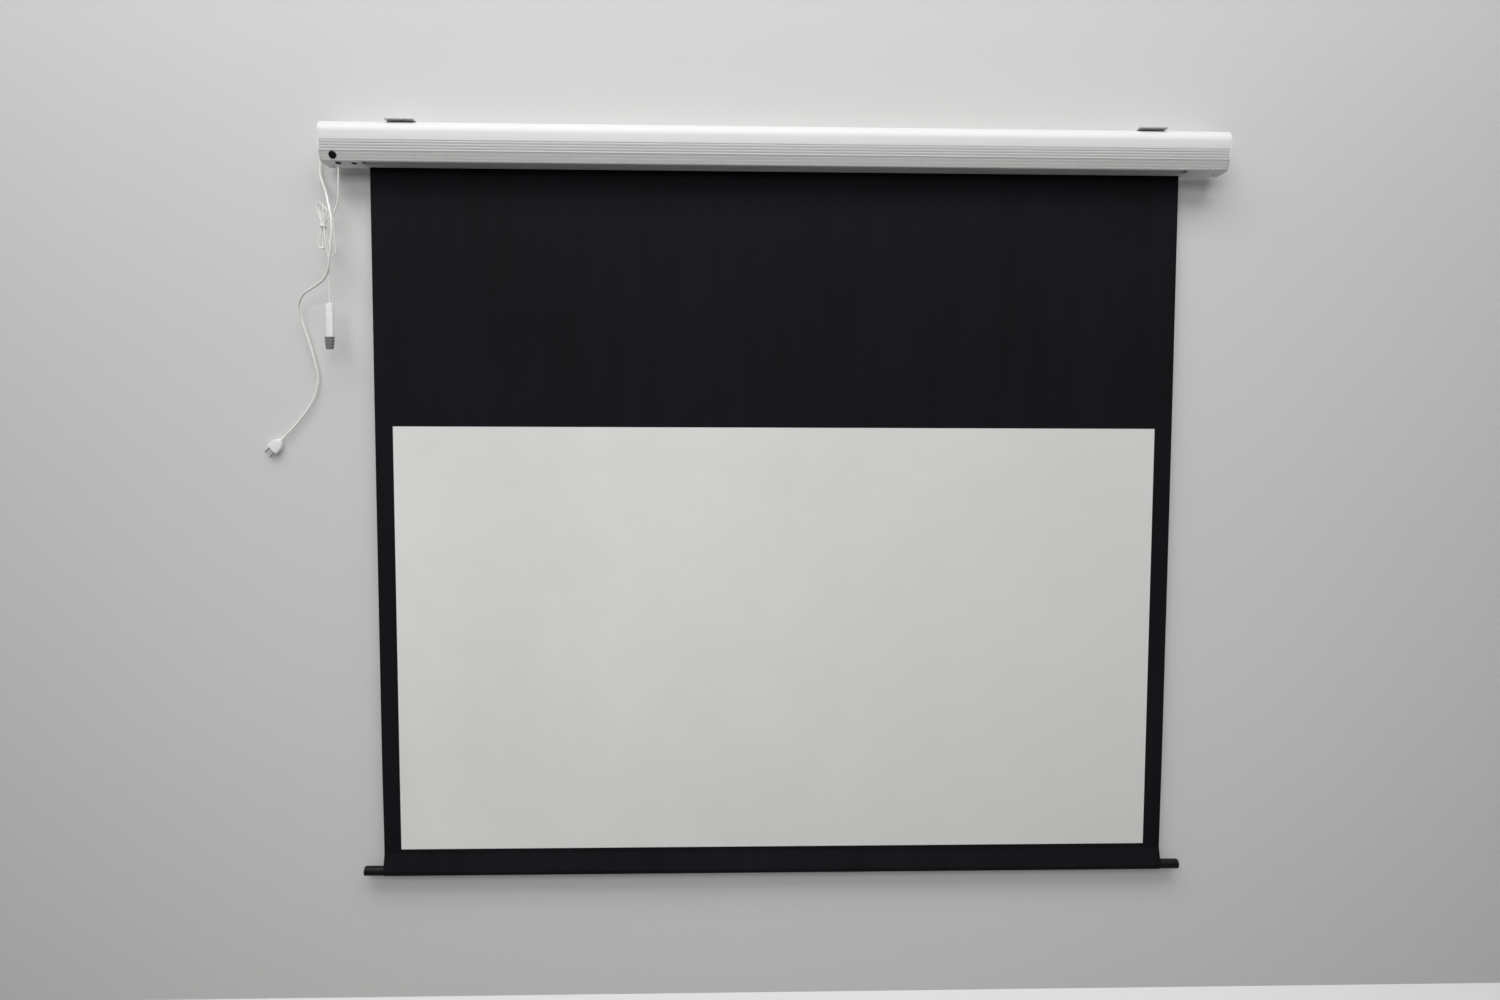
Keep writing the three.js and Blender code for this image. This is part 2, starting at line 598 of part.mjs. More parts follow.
piece(rollerGroup, 'roller_tube', alongX(keyedCircle(roller.radius, keyway.width, keyFloor),
  headEnd + roller.fromHead, rollerEnd, [tubeInner]), aluminium());
piece(rollerGroup, 'crown_ring', alongX(wheelOutline, headEnd + gap, headEnd + gap + crown.length,
  [circle(motorRadius + gap)]), plasticBlack());
piece(rollerGroup, 'drive_shaft', alongX(roundedRectangle(shaft.side, shaft.side, shaft.edge, 1),
  insideEnd + gap, wheelEnd), steel());
piece(rollerGroup, 'drive_wheel', alongX(wheelOutline, wheelStart, wheelEnd,
  [roundedRectangle(shaftHole, shaftHole, shaft.edge, 1)]), plasticBlack());
piece(rollerGroup, 'idler_plug', idlerPlugShape(), plasticBlack());
piece(rollerGroup, 'idler_pin',
  aboutX(rod(idlerPin.radius, rollerEnd - idlerPin.grip, -plateOuter)), steel());
piece(rollerGroup, 'cloth_spline', aboutX(rod(spline.radius, -halfCloth, halfCloth), 8), plasticWhite(),
  [0, -keyFloor - spline.radius - gap, 0]);
piece(rollerGroup, 'cloth_turns', alongX(circle(turnsOuter), -halfCloth, halfCloth, [circle(turnsInner)]),
  clothBlack());

// Cloth: the black frame has the white viewing area in its window
const clothGroup = group('cloth', [0, clothY, 0]);
const halfImage = image.width / 2;

const clothSheet = (outline, holes = []) =>
  extrude(outline, cloth.thick, holes).rotateX(Math.PI / 2).translate(0, cloth.thick / 2, 0);

piece(clothGroup, 'black_cloth', clothSheet(rectangle(-halfCloth, hemTop + gap, halfCloth, rollerZ),
  [rectangle(-halfImage, imageBottom, halfImage, imageTop)]), clothBlack());
piece(clothGroup, 'viewing_area', clothSheet(rectangle(-halfImage + gap, imageBottom + gap,
  halfImage - gap, imageTop - gap)), clothWhite());

// Weight bar, drawn about its own axis, in the cloth's hem
const barGroup = group('weight_bar', [0, clothY, barHeight]);
const hemInner = bar.radius + gap;
const hemOuter = hemInner + cloth.thick;

function teardrop(radius, apex) {
  const tangent = THREE.MathUtils.radToDeg(Math.acos(radius / apex));
  return [...arc(0, 0, radius, radius, 90 + tangent, 450 - tangent, 24), at(0, apex)];
}

function barCapShape() {
  const start = -halfBar - gap;
  const bore = bar.radius - bar.wall - gap;
  return aboutX([[0, start - bar.capThick], [bar.radius - bar.capRound, start - bar.capThick],
    [bar.radius, start - bar.capThick + bar.capRound], [bar.radius, start], [bore, start],
    [bore, start + bar.spigot], [0, start + bar.spigot]]);
}

piece(barGroup, 'cloth_hem', alongX(teardrop(hemOuter, cloth.hemHeight), -halfCloth, halfCloth,
  [teardrop(hemInner, (cloth.hemHeight * hemInner) / hemOuter)]), clothBlack());
piece(barGroup, 'bar_tube',
  aboutX(sleeve(bar.radius - bar.wall, bar.radius, -halfBar, halfBar)), barBlack());
piece(barGroup, 'bar_cap_left', barCapShape(), plasticBlack());
piece(barGroup, 'bar_cap_right', mirrorX(barCapShape()), plasticBlack());

// Wall brackets
const railFloor = caseTop - shell.wall - gap - clampBolt.headHeight;

function bracketShape() {
  const top = wallSlot.below;
  const { thick, bend, drop, width } = bracket;
  const reach = shell.standOff + caseDepth - bracket.behindFace;
  const profile = [
    at(0, top - drop), ...arc(bend, top - bend, bend, bend, 180, 90, 4),
    at(reach, top), at(reach, top - thick),
    ...arc(bend, top - bend, bend - thick, bend - thick, 90, 180, 4), at(thick, top - drop),
  ];
  const wallSlots = [-1, 1].map((sign) => extrude(stadium(wallSlot.radius, wallSlot.length), overrun * 2)
    .rotateX(Math.PI / 2).translate((sign * wallSlot.apart) / 2, overrun, 0));
  const railSlot = extrude(stadium(clampSlot.radius, clampSlot.length), overrun * 2)
    .rotateZ(Math.PI / 2).translate(0, depthAt(rail.centre), top - overrun);
  return cut(alongX(profile, -width / 2, width / 2), ...wallSlots, railSlot);
}

function clampBoltShape() {
  const half = clampBolt.head / 2;
  return join(block(-half, -half, 0, half, half, clampBolt.headHeight),
    aboutZ(rod(clampBolt.radius, clampBolt.headHeight / 2, wallSlot.below + clampBolt.top - railFloor),
      sides.fine));
}

function clampNutShape() {
  return cut(extrude(circle(clampNut.acrossFlats / Math.sqrt(3), 6), clampNut.height),
    aboutZ(rod(clampBolt.radius + gap, -overrun, clampNut.height + overrun), sides.fine));
}

for (const [sign, side] of [[-1, 'left'], [1, 'right']]) {
  const bracketGroup = group(`bracket_group_${side}`, [sign * (halfShell - bracket.fromEnd), 0, 0]);
  piece(bracketGroup, `bracket_${side}`, bracketShape(), zinc());
  piece(bracketGroup, `clamp_bolt_${side}`, clampBoltShape(), steel(),
    [0, depthAt(rail.centre), railFloor]);
  piece(bracketGroup, `clamp_nut_${side}`, clampNutShape(), steel(),
    [0, depthAt(rail.centre), wallSlot.below + gap]);
}

// Both cords are drawn from the case's left end, so their x is from there
const leftEnd = [-halfShell, 0, 0];

// Mains coil: its turns spiral in on the layer by the case and out on the layer by the wall
const coilPitch = mains.radius * 2 + coil.clear; // between neighbouring turns and between the layers
const layerY = [-coil.offWall - coilPitch / 2, -coil.offWall + coilPitch / 2];
const coilInner = coil.outer - (coilPitch * coil.turns) / 2;
const coilLead = mains.radius * 2; // the straight stretch at each end of the coil

class CoilPath extends THREE.Curve {
  getPoint(t, target = new THREE.Vector3()) {
    const wound = Math.PI * (coil.outer + coilInner) * coil.turns;
    const place = t * (wound + coilLead * 2) - coilLead;
    if (place < 0) return target.set(coil.fromEnd + place, layerY[0], coilZ - coil.outer);
    if (place > wound) return target.set(coil.fromEnd - place + wound, layerY[1], coilZ + coil.outer);
    const turned = (place / wound) * coil.turns;
    const middle = coil.turns / 2;
    const radius = coil.outer - coilPitch * Math.min(turned, coil.turns - turned);
    const climb = THREE.MathUtils.smoothstep(turned, middle - 0.25, middle + 0.25);
    const angle = Math.PI * (2 * turned - 0.5);
    return target.set(coil.fromEnd + radius * Math.cos(angle),
      THREE.MathUtils.lerp(layerY[0], layerY[1], climb), coilZ + radius * Math.sin(angle));
  }
}

const coilPath = new CoilPath();

function coilTieShape() {
  const inner = coilInner - mains.radius - coilTie.clear;
  const outer = coil.outer + mains.radius + coilTie.clear;
  const halfDepth = coilPitch / 2 + mains.radius + coilTie.clear;
  const ring = (grow) => rectangle(inner - grow, -halfDepth - grow, outer + grow, halfDepth + grow);
  return extrude(ring(coilTie.thick), coilTie.width, [ring(0)])
    .translate(coil.fromEnd, -coil.offWall, coilZ - coilTie.width / 2);
}

// The gland leaves the case's rear and turns along it into a tapered relief
function glandShape() {
  const inside = wallRear - shell.wall - gap;
  const outside = wallRear + gap;
  const flangeEnd = outside + gland.flangeThick;
  const dome = [0, 1, 2, 3, 4].map((i) => THREE.MathUtils.degToRad(22.5 * i))
    .map((angle) => [gland.body * Math.cos(angle), layerY[0] + gland.body * Math.sin(angle)]);
  const stem = aboutY([[0, inside], [gland.stub, inside], [gland.stub, outside], [gland.flange, outside],
    [gland.flange, flangeEnd], [gland.body, flangeEnd], ...dome.slice(0, -1), [0, dome.at(-1)[1]]]);
  const tip = coil.fromEnd - coilLead - gap - gland.fromEnd;
  const relief = aboutX([[0, 0], [gland.body, 0], [gland.body, gland.body], [gland.tip, tip], [0, tip]],
    sides.small).translate(0, layerY[0], 0);
  return join(stem, relief).translate(gland.fromEnd, 0, glandZ);
}

// The free lead's route: behind the case, past its end, across the front of the hank and down the wall
const mainsRoute = [
  [54.3, -6.8, 27], [47.5, -6.8, 27], [26, -7, 25.5], [3, -7.5, 19], [-17, -8.4, 5],
  [-30, -9.2, -16], [-36, -10, -48], [-37.5, -11.4, -72], [-35.5, -15.5, -97],
  [-24, -25.5, -123], [-10, -41, -151], [6, -63, -186], [16, -76, -209], [23, -85, -237],
  [24.8, -88, -267], [21.8, -88, -301], [16.7, -86, -336], [8.5, -79.5, -371],
  [-4.9, -72, -393.5], [-24.5, -64, -407.5], [-46, -56, -418], [-69, -48, -429],
  [-87, -39, -443], [-98.5, -29, -466], [-97, -20, -502], [-82.3, -14, -556],
  [-66.4, -11, -620], [-58.5, -10, -663], [-64, -10, -703], [-81.5, -10, -743],
  [-109, -10, -781], [-137, -10, -814], [-155, -10, -832.4], [-160.4, -10, -837.9],
];
const mainsPoints = toVectors(mainsRoute);

const mainsGroup = group('mains', leftEnd);
piece(mainsGroup, 'mains_gland', glandShape(), plasticWhite());
piece(mainsGroup, 'mains_coil', cordTube(coilPath, mains.radius, coilSteps.sides,
  Math.round(coil.turns * coilSteps.perTurn)), cordWhite());
piece(mainsGroup, 'coil_tie', coilTieShape(), plasticBlack());
piece(mainsGroup, 'mains_lead', leadTube(mainsPoints, mains), cordWhite());

// Flat two-pin plug, drawn along X away from the end of the lead
const plugAim = mainsPoints.at(-1).clone().sub(mainsPoints.at(-2));
const plugGroup = group('plug', mainsPoints.at(-1).toArray(), mainsGroup);
plugGroup.rotation.y = Math.atan2(-plugAim.z, plugAim.x);
const plugStart = gap + plug.relief;
const plugEnd = plugStart + plug.length;
const pinBlock = plugPin.apart / 2 + plugPin.radius * 1.5; // half the width of the pins' bridge

function plugShape() {
  const outline = [at(plugStart, -plug.shoulder / 2), at(plugStart + plug.shoulder, -plug.width / 2),
    at(plugEnd, -plug.width / 2), at(plugEnd, plug.width / 2),
    at(plugStart + plug.shoulder, plug.width / 2), at(plugStart, plug.shoulder / 2)];
  const body = extrude(outline, plug.thick).rotateX(Math.PI / 2).translate(0, plug.thick / 2, 0);
  const reliefEnd = plug.thick / 2 - gap;
  const relief = aboutX([[0, gap], [plug.reliefTip, gap], [reliefEnd, plugStart + gap],
    [0, plugStart + gap]], sides.small);
  return cut(join(body, relief), block(plugEnd - plugPin.bridgeDepth, -plugPin.bridge / 2 - gap,
    -pinBlock - gap, plugEnd + overrun, plugPin.bridge / 2 + gap, pinBlock + gap));
}

function plugPinsShape() {
  const bridge = block(plugEnd - plugPin.bridgeDepth + gap, -plugPin.bridge / 2, -pinBlock,
    plugEnd, plugPin.bridge / 2, pinBlock);
  return join(bridge, ...[-1, 1].map((sign) =>
    aboutX(rod(plugPin.radius, plugEnd - plugPin.bridgeDepth / 2, plugEnd + plugPin.length), sides.fine)
      .translate(0, 0, (sign * plugPin.apart) / 2)));
}

piece(plugGroup, 'mains_plug', plugShape(), plasticWhite());
piece(plugGroup, 'plug_pins', plugPinsShape(), steel());

// Control cord: its route down to the hank, and from the hank to the hand control
const controlUpper = toVectors([
  [39.5, -70, -81.8], [39.4, -70, -88], [38, -69.6, -122], [36.4, -68, -162],
  [33, -65.6, -183], [26, -62.8, -200.5], [20.6, -61.6, -211.5], [18.8, -61.6, -216.2],
]);
const controlLower = toVectors([
  [9.4, -74.6, -346], [9.3, -74.2, -350.5], [8.6, -71.4, -378], [7.4, -70, -422],
  [7, -70, -460.4], [7, -70, -464.7],
]);

// Points along the hank's loops: under each bottom, up through the waist, over the top and back
function hankPoints() {
  const startAim = controlUpper.at(-1).clone().sub(controlUpper.at(-2)).normalize();
  const endAim = controlLower[1].clone().sub(controlLower[0]).normalize();
  const straight = gap + control.radius * 2;
  const rearY = controlY + (hank.layer * hank.loops) / 2;
  const { waistX, waistZ, waistHalf } = hank;
  const outlines = Array.from({ length: hank.loops }, (_, loop) => {
    const shifted = (end) => [end.x + end.shiftX * loop, end.z + end.shiftZ * loop];
    const [lowX, lowZ] = shifted(hankLower);
    const [highX, highZ] = shifted(hankUpper);
    return [
      ...arc(lowX, lowZ + hankLower.radius, hankLower.radius, hankLower.radius, 0, -180, 4),
      at(waistX - waistHalf, waistZ),
      ...arc(highX, highZ - hankUpper.radius, hankUpper.radius, hankUpper.radius, 180, 0, 4),
      at(waistX + waistHalf, waistZ),
    ];
  });
  const perLoop = outlines[0].length;
  const looped = outlines.flat().map((point, i) =>
    new THREE.Vector3(point.x, rearY - (hank.layer * (i + 1)) / perLoop, point.y));
  return [
    controlUpper.at(-1).clone().addScaledVector(startAim, gap),
    controlUpper.at(-1).clone().addScaledVector(startAim, straight),
    ...looped,
    looped.at(-1).clone().lerp(controlLower[0], 0.5).setY(looped.at(-1).y),
    controlLower[0].clone().addScaledVector(endAim, -straight),
    controlLower[0].clone().addScaledVector(endAim, -gap),
  ];
}

const hankPath = splineThrough(hankPoints());

function hankTieShape() {
  const middleY = controlY + (hank.layer * hank.loops) / 2 - hank.layer * (hank.loops + 0.5) / 2;
  const halfWidth = hank.waistHalf + control.radius + hankTie.clear;
  const halfDepth = (hank.layer * (hank.loops - 0.5)) / 2 + control.radius + hankTie.clear;
  const ring = (grow) =>
    rectangle(-halfWidth - grow, -halfDepth - grow, halfWidth + grow, halfDepth + grow);
  return extrude(ring(hankTie.thick), hankTie.width, [ring(0)])
    .translate(hank.waistX, middleY, hank.waistZ - hankTie.width / 2);
}

function grommetShape() {
  const flangeFoot = -gap - grommet.flangeThick;
  const body = grommet.hole - grommet.clear;
  return aboutZ([[0, flangeFoot - grommet.noseHeight], [grommet.nose, flangeFoot - grommet.noseHeight],
    [grommet.nose, flangeFoot], [grommet.flange, flangeFoot], [grommet.flange, -gap], [body, -gap],
    [body, cover.thick], [0, cover.thick]], sides.large);
}

const controlGroup = group('control', leftEnd);
piece(controlGroup, 'control_grommet', grommetShape(), rubberBlack(),
  [control.fromEnd, controlY, caseBottom]);
piece(controlGroup, 'control_lead_upper', leadTube(controlUpper, control), cordWhite());
piece(controlGroup, 'control_hank', cordTube(hankPath, control.radius, coilSteps.sides,
  Math.round((hank.loops + 1) * coilSteps.perTurn)), cordWhite());
piece(controlGroup, 'hank_tie', hankTieShape(), plasticWhite());
piece(controlGroup, 'control_lead_lower', leadTube(controlLower, control), cordWhite());

// Hand control: a plain white body and a ribbed grey end that tapers
function handsetEndShape() {
  const pitch = handsetEnd.length / handsetEnd.ribs;
  const ringAt = (place, shrink) => {
    const width = THREE.MathUtils.lerp(handsetEnd.width, handsetEnd.tipWidth, place / handsetEnd.length);
    return { outline: roundedRectangle(width - shrink, handsetEnd.thick - shrink, handset.round), place };
  };
  const rings = Array.from({ length: handsetEnd.ribs }, (_, i) => [
    ringAt(pitch * i, handsetEnd.ribDepth * 2), ringAt(pitch * (i + 0.25), 0), ringAt(pitch * (i + 0.75), 0),
  ]).flat();
  return loft([...rings, ringAt(handsetEnd.length, handsetEnd.ribDepth * 2)]).rotateX(Math.PI);
}

piece(controlGroup, 'control_body', extrude(roundedRectangle(handset.width, handset.thick, handset.round),
  handset.length), plasticWhite(), [handset.x, controlY, handset.top - handset.length]);
piece(controlGroup, 'control_end', handsetEndShape(), plasticGrey(),
  [handsetEnd.x, controlY, handset.top - handset.length - gap]);

console.log(`mains coil: least gap to itself ${leastSelfGap(coilPath, mains.radius).toFixed(2)} mm`);
console.log(`control hank: least gap to itself ${leastSelfGap(hankPath, control.radius).toFixed(2)} mm`);

export default model;
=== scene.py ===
"""Motorised projection screen: the visible pieces, their finishes, the camera and the studio.

Sizes are in millimetres and meshes are written in metres. X runs along the case, Y away from the wall is
negative, Z is up. The case's section is given as depth d from its rear face and height h from its underside.
"""

from __future__ import annotations

import json
import logging
import math
from collections.abc import Sequence
from dataclasses import dataclass
from enum import Enum

import bmesh
import bpy
import numpy as np
from mathutils import Matrix, Vector


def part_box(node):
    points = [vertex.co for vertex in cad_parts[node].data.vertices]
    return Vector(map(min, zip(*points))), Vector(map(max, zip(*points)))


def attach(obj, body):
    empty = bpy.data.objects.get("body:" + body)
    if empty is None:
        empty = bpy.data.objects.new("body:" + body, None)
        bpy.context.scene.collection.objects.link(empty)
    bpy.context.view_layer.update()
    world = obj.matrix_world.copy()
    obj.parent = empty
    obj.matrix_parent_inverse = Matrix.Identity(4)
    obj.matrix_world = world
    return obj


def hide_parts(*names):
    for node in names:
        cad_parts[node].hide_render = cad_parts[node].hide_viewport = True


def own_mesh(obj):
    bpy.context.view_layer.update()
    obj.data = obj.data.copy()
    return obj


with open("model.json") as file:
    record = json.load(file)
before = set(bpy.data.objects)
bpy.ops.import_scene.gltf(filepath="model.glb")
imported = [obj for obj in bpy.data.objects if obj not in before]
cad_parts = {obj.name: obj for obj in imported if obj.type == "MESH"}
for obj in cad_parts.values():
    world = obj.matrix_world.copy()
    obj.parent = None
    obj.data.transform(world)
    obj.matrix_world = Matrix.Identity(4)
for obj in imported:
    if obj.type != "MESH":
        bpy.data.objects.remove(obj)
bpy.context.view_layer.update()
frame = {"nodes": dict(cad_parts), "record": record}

MM = 0.001
LOG = logging.getLogger("projection_screen")

# Where the case's section stands in the room, and how far the case, cloth and bar reach to each side
REAR_Y, UNDER_Z = -20.0, -77.0
HALF_CASE, HALF_CLOTH, HALF_BAR = 1266.0, 1157.0, 1210.0
CLOTH_Y, CLOTH_THICK, HEM_TOP = -28.0, 0.45, -2064.7
ROLLER_Y, ROLLER_Z = -57.425, -22.0
BAR_Z, BAR_RADIUS = -2114.0, 14.0

# Gap between neighbours, and what the upright corners of a cutting box lose, too little to show
GAP, HAIR = 0.3, 0.001

# Bends, in degrees, past which an edge is rounded or kept sharp, and under which faces are joined
BEVEL_ANGLE, SHARP_ANGLE, FLAT_ANGLE = 40.0, 38.0, 1.0

# Distances, in metres, at which points merge, and at which a face counts as having no area
MERGE_AT, THIN_AT = 2e-6, 1e-7

Place = tuple[float, float, float]
Colour = tuple[float, float, float]
Profile = Sequence[tuple[float, float]]


class Body(Enum):
    """The bodies that new pieces ride on."""

    CASE = "case"
    BAR = "bar"
    ROLLER = "roller"
    LEFT_HANGER = "left_hanger"
    RIGHT_HANGER = "right_hanger"


class Side(Enum):
    """The two ends of the screen, by the sign of X."""

    LEFT = -1
    RIGHT = 1

    @property
    def word(self) -> str:
        """The side's name as the nodes spell it."""
        return self.name.lower()


class Axis(Enum):
    """The directions that a turned piece can be made about."""

    X = (1.0, 0.0, 0.0)
    Y = (0.0, 1.0, 0.0)
    Z = (0.0, 0.0, 1.0)


# Surfaces


@dataclass
class Surface:
    """Points in millimetres, and faces as rows of point numbers."""

    points: np.ndarray
    faces: list[list[int]]

    def __add__(self, other: Surface) -> Surface:
        """Both surfaces in one mesh, as separate closed shells."""
        moved = [[i + len(self.points) for i in face] for face in other.faces]
        return Surface(np.vstack([self.points, other.points]), self.faces + moved)

    def turned(self, matrix: np.ndarray, place: Sequence[float]) -> Surface:
        """The surface with its points turned by a 3 by 3 matrix and then moved to a place."""
        return Surface(self.points @ np.asarray(matrix).T + np.asarray(place, float), self.faces)

    def moved(self, place: Sequence[float]) -> Surface:
        """The surface moved to a place."""
        return self.turned(np.eye(3), place)


def grid(points: np.ndarray, ring: bool = False, loop: bool = False, capped: bool = False,
         keep: np.ndarray | None = None) -> Surface:
    """Joins a grid of points with four-sided faces, (i, j) to (i + 1, j + 1).

    Args:
        points: array of rows, columns and 3.
        ring: joins the last column to the first.
        loop: joins the last row to the first.
        capped: closes the first and last rows with one flat face each.
        keep: true for each face to keep, rows by columns.

    Returns:
        The surface.
    """
    rows, columns = points.shape[:2]
    index = np.arange(rows * columns).reshape(rows, columns)
    caps = [index[0, ::-1].tolist(), index[-1].tolist()] if capped else []
    if ring:
        index = np.hstack([index, index[:, :1]])
    if loop:
        index = np.vstack([index, index[:1]])
    quads = np.stack([index[:-1, :-1], index[1:, :-1], index[1:, 1:], index[:-1, 1:]], -1)
    quads = quads[keep] if keep is not None else quads.reshape(-1, 4)
    return Surface(points.reshape(-1, 3), quads.tolist() + caps)


def smooth(share: np.ndarray) -> np.ndarray:
    """Goes from 0 to 1 as t * t * (3 - 2 t), and stays at 0 before and at 1 after."""
    t = np.clip(share, 0, 1)
    return t**2 * (3 - 2 * t)


def ribbing(place: np.ndarray, pitch: float, low: float = -1.0, high: float = 1.0) -> np.ndarray:
    """Ribs along a length: twice a sine of the place, cut off flat at a low and a high."""
    return np.clip(np.sin(place * 2 * np.pi / pitch) * 2, low, high)


def quarter(steps: int) -> np.ndarray:
    """Angles of a quarter turn, from 0 up."""
    return np.linspace(0, np.pi / 2, steps)


def rod(low: float, high: float, radius: float) -> list[tuple[float, float]]:
    """Profile of a plain rod from a low to a high place along its axis."""
    return [(low, 0.0), (low, radius), (high, radius), (high, 0.0)]


def lathe(profile: Profile, centre: Sequence[float], axis: Axis = Axis.Z, sides: int = 48,
          closed: bool = False) -> Surface:
    """Turns a profile about an axis.

    A point at angle a stands at centre + place * axis + radius * (cos a * u + sin a * v), where u and v
    are square to the axis.

    Args:
        profile: pairs of place along the axis and radius. An open one starts and ends at radius 0.
        centre: a point on the axis, where the place is 0.
        axis: the axis's direction.
        sides: how many steps a full turn has.
        closed: joins the profile's end to its start, which gives a ring.

    Returns:
        The closed surface.
    """
    along = np.array(axis.value)
    u = np.roll(along, 1)
    v = np.cross(along, u)
    place, radius = np.array(profile, float).T[:, :, None, None]
    angle = np.linspace(0, 2 * np.pi, sides, endpoint=False)[None, :, None]
    points = np.asarray(centre, float) + place * along + radius * (np.cos(angle) * u + np.sin(angle) * v)
    return grid(points, ring=True, loop=closed)


def facing(outward: Sequence[float], across: Sequence[float]) -> np.ndarray:
    """The turn that brings Z to an outward direction and X to one across it."""
    return np.stack([across, np.cross(outward, across), outward], 1)


def rounded(profile: Profile, radius: float, steps: int = 4) -> list[tuple[float, float]]:
    """Rounds each inner corner of an open profile with a quadratic curve.

    Args:
        profile: pairs of place and radius, with straight sides between them.
        radius: how far from its corner a curve starts and ends, or half way along a shorter side.
        steps: how many straight steps a curve has.

    Returns:
        The rounded profile.
    """
    p = np.array(profile, float)
    before, corner, after = p[:-2], p[1:-1], p[2:]

    def towards(end: np.ndarray) -> np.ndarray:
        """The point at the rounding's distance from each corner, or half way where the side is short.

        Args:
            end: the other end of each corner's side.

        Returns:
            A point for each corner.
        """
        gap = end - corner
        length = np.linalg.norm(gap, axis=1, keepdims=True)
        return corner + gap * np.minimum(radius / np.maximum(length, 1e-9), 0.5)

    a, b = towards(before)[:, None], towards(after)[:, None]
    t = np.linspace(0, 1, steps + 1)[None, :, None]
    curve = a * (1 - t) ** 2 + corner[:, None] * 2 * t * (1 - t) + b * t**2
    return [tuple(p[0]), *map(tuple, curve.reshape(-1, 2)), tuple(p[-1])]


def smooth_path(points: Sequence[Sequence[float]], spacing: float) -> np.ndarray:
    """Centripetal Catmull-Rom curve through points.

    Knots are the running sum of the square roots of the distances, the ends go on in a straight line, and
    each stretch blends its four points in three rounds of straight mixing.

    Args:
        points: the points that the curve passes through.
        spacing: length of a step along the curve.

    Returns:
        Points of the curve, one at each step.
    """
    p = np.array(points, float)
    p = np.vstack([2 * p[0] - p[1], p, 2 * p[-1] - p[-2]])
    p0, p1, p2, p3 = (p[i:len(p) - 3 + i, None] for i in range(4))

    def knot(a: np.ndarray, b: np.ndarray) -> np.ndarray:
        """Square root of the distance between two sets of points."""
        return np.linalg.norm(b - a, axis=2, keepdims=True) ** 0.5

    t1 = knot(p0, p1)
    t2 = t1 + knot(p1, p2)
    t3 = t2 + knot(p2, p3)
    t = t1 + (t2 - t1) * np.linspace(0, 1, 32, endpoint=False)[None, :, None]

    def mix(a: np.ndarray, b: np.ndarray, start: np.ndarray | float, end: np.ndarray) -> np.ndarray:
        """Straight mix from a at knot start to b at knot end."""
        share = (t - start) / (end - start)
        return a * (1 - share) + b * share

    a1, a2, a3 = mix(p0, p1, 0.0, t1), mix(p1, p2, t1, t2), mix(p2, p3, t2, t3)
    curve = mix(mix(a1, a2, 0.0, t2), mix(a2, a3, t1, t3), t1, t2).reshape(-1, 3)
    return even(np.vstack([curve, p[-2]]), spacing)


def even(path: np.ndarray, spacing: float) -> np.ndarray:
    """The path with its points spread evenly along it.

    Args:
        path: points of the path.
        spacing: about how long each step becomes.

    Returns:
        The new points, with the same first and last one.
    """
    run = np.concatenate([[0], np.cumsum(np.linalg.norm(np.diff(path, axis=0), axis=1))])
    places = np.linspace(0, run[-1], max(2, round(run[-1] / spacing) + 1))
    return np.stack([np.interp(places, run, path[:, k]) for k in range(3)], axis=1)


def length_of(path: np.ndarray) -> float:
    """Length of a path, in millimetres."""
    return float(np.linalg.norm(np.diff(path, axis=0), axis=1).sum())


def tube(path: np.ndarray, radius: float, sides: int = 16) -> Surface:
    """Carries a circle along a path that never runs along Y.

    Each ring is path + radius * (cos a * across + sin a * up), where across is the tangent crossed with Y
    and up is square to both.

    Args:
        path: points of the path.
        radius: the circle's radius.
        sides: how many sides the circle has.

    Returns:
        The closed surface.
    """
    tangent = np.gradient(path, axis=0)
    tangent /= np.linalg.norm(tangent, axis=1, keepdims=True)
    across = np.cross(tangent, Axis.Y.value)
    across /= np.linalg.norm(across, axis=1, keepdims=True)
    up = np.cross(across, tangent)
    angle = np.linspace(0, 2 * np.pi, sides, endpoint=False)[None, :, None]
    circle = radius * (np.cos(angle) * across[:, None] + np.sin(angle) * up[:, None])
    return grid(path[:, None] + circle, ring=True, capped=True)


def rounded_rings(width: float | np.ndarray, depth: float | np.ndarray, radius: float | np.ndarray,
                  steps: int = 6) -> np.ndarray:
    """Rectangles with round corners: corner centre + radius * (cos a, sin a), a quarter turn for each.

    Args:
        width: size along X, one for all or one for each rectangle.
        depth: size along Y.
        radius: radius of the corners.
        steps: how many steps a corner has.

    Returns:
        The outlines, as rectangles by points by 2.
    """
    sizes = np.broadcast_arrays(*map(np.atleast_1d, (width, depth, radius)))
    width, depth, radius = (size.astype(float)[:, None, None] for size in sizes)
    sign = np.array([[1, 1], [-1, 1], [-1, -1], [1, -1]], float)
    angle = np.radians(np.arange(4)[:, None] * 90 + np.linspace(0, 90, steps + 1))
    x = sign[:, :1] * (width / 2 - radius) + radius * np.cos(angle)
    y = sign[:, 1:] * (depth / 2 - radius) + radius * np.sin(angle)
    return np.stack([x, y], -1).reshape(len(x), -1, 2)


def raised(outlines: np.ndarray, places: np.ndarray) -> np.ndarray:
    """Outlines in X and Y, each at its place along Z."""
    height = np.broadcast_to(np.asarray(places, float)[:, None, None], (*outlines.shape[:2], 1))
    return np.concatenate([outlines, height], -1)


def loft(outlines: np.ndarray, places: np.ndarray) -> Surface:
    """Joins outlines in X and Y, each at its place along Z, and closes both ends."""
    return grid(raised(outlines, places), ring=True, capped=True)


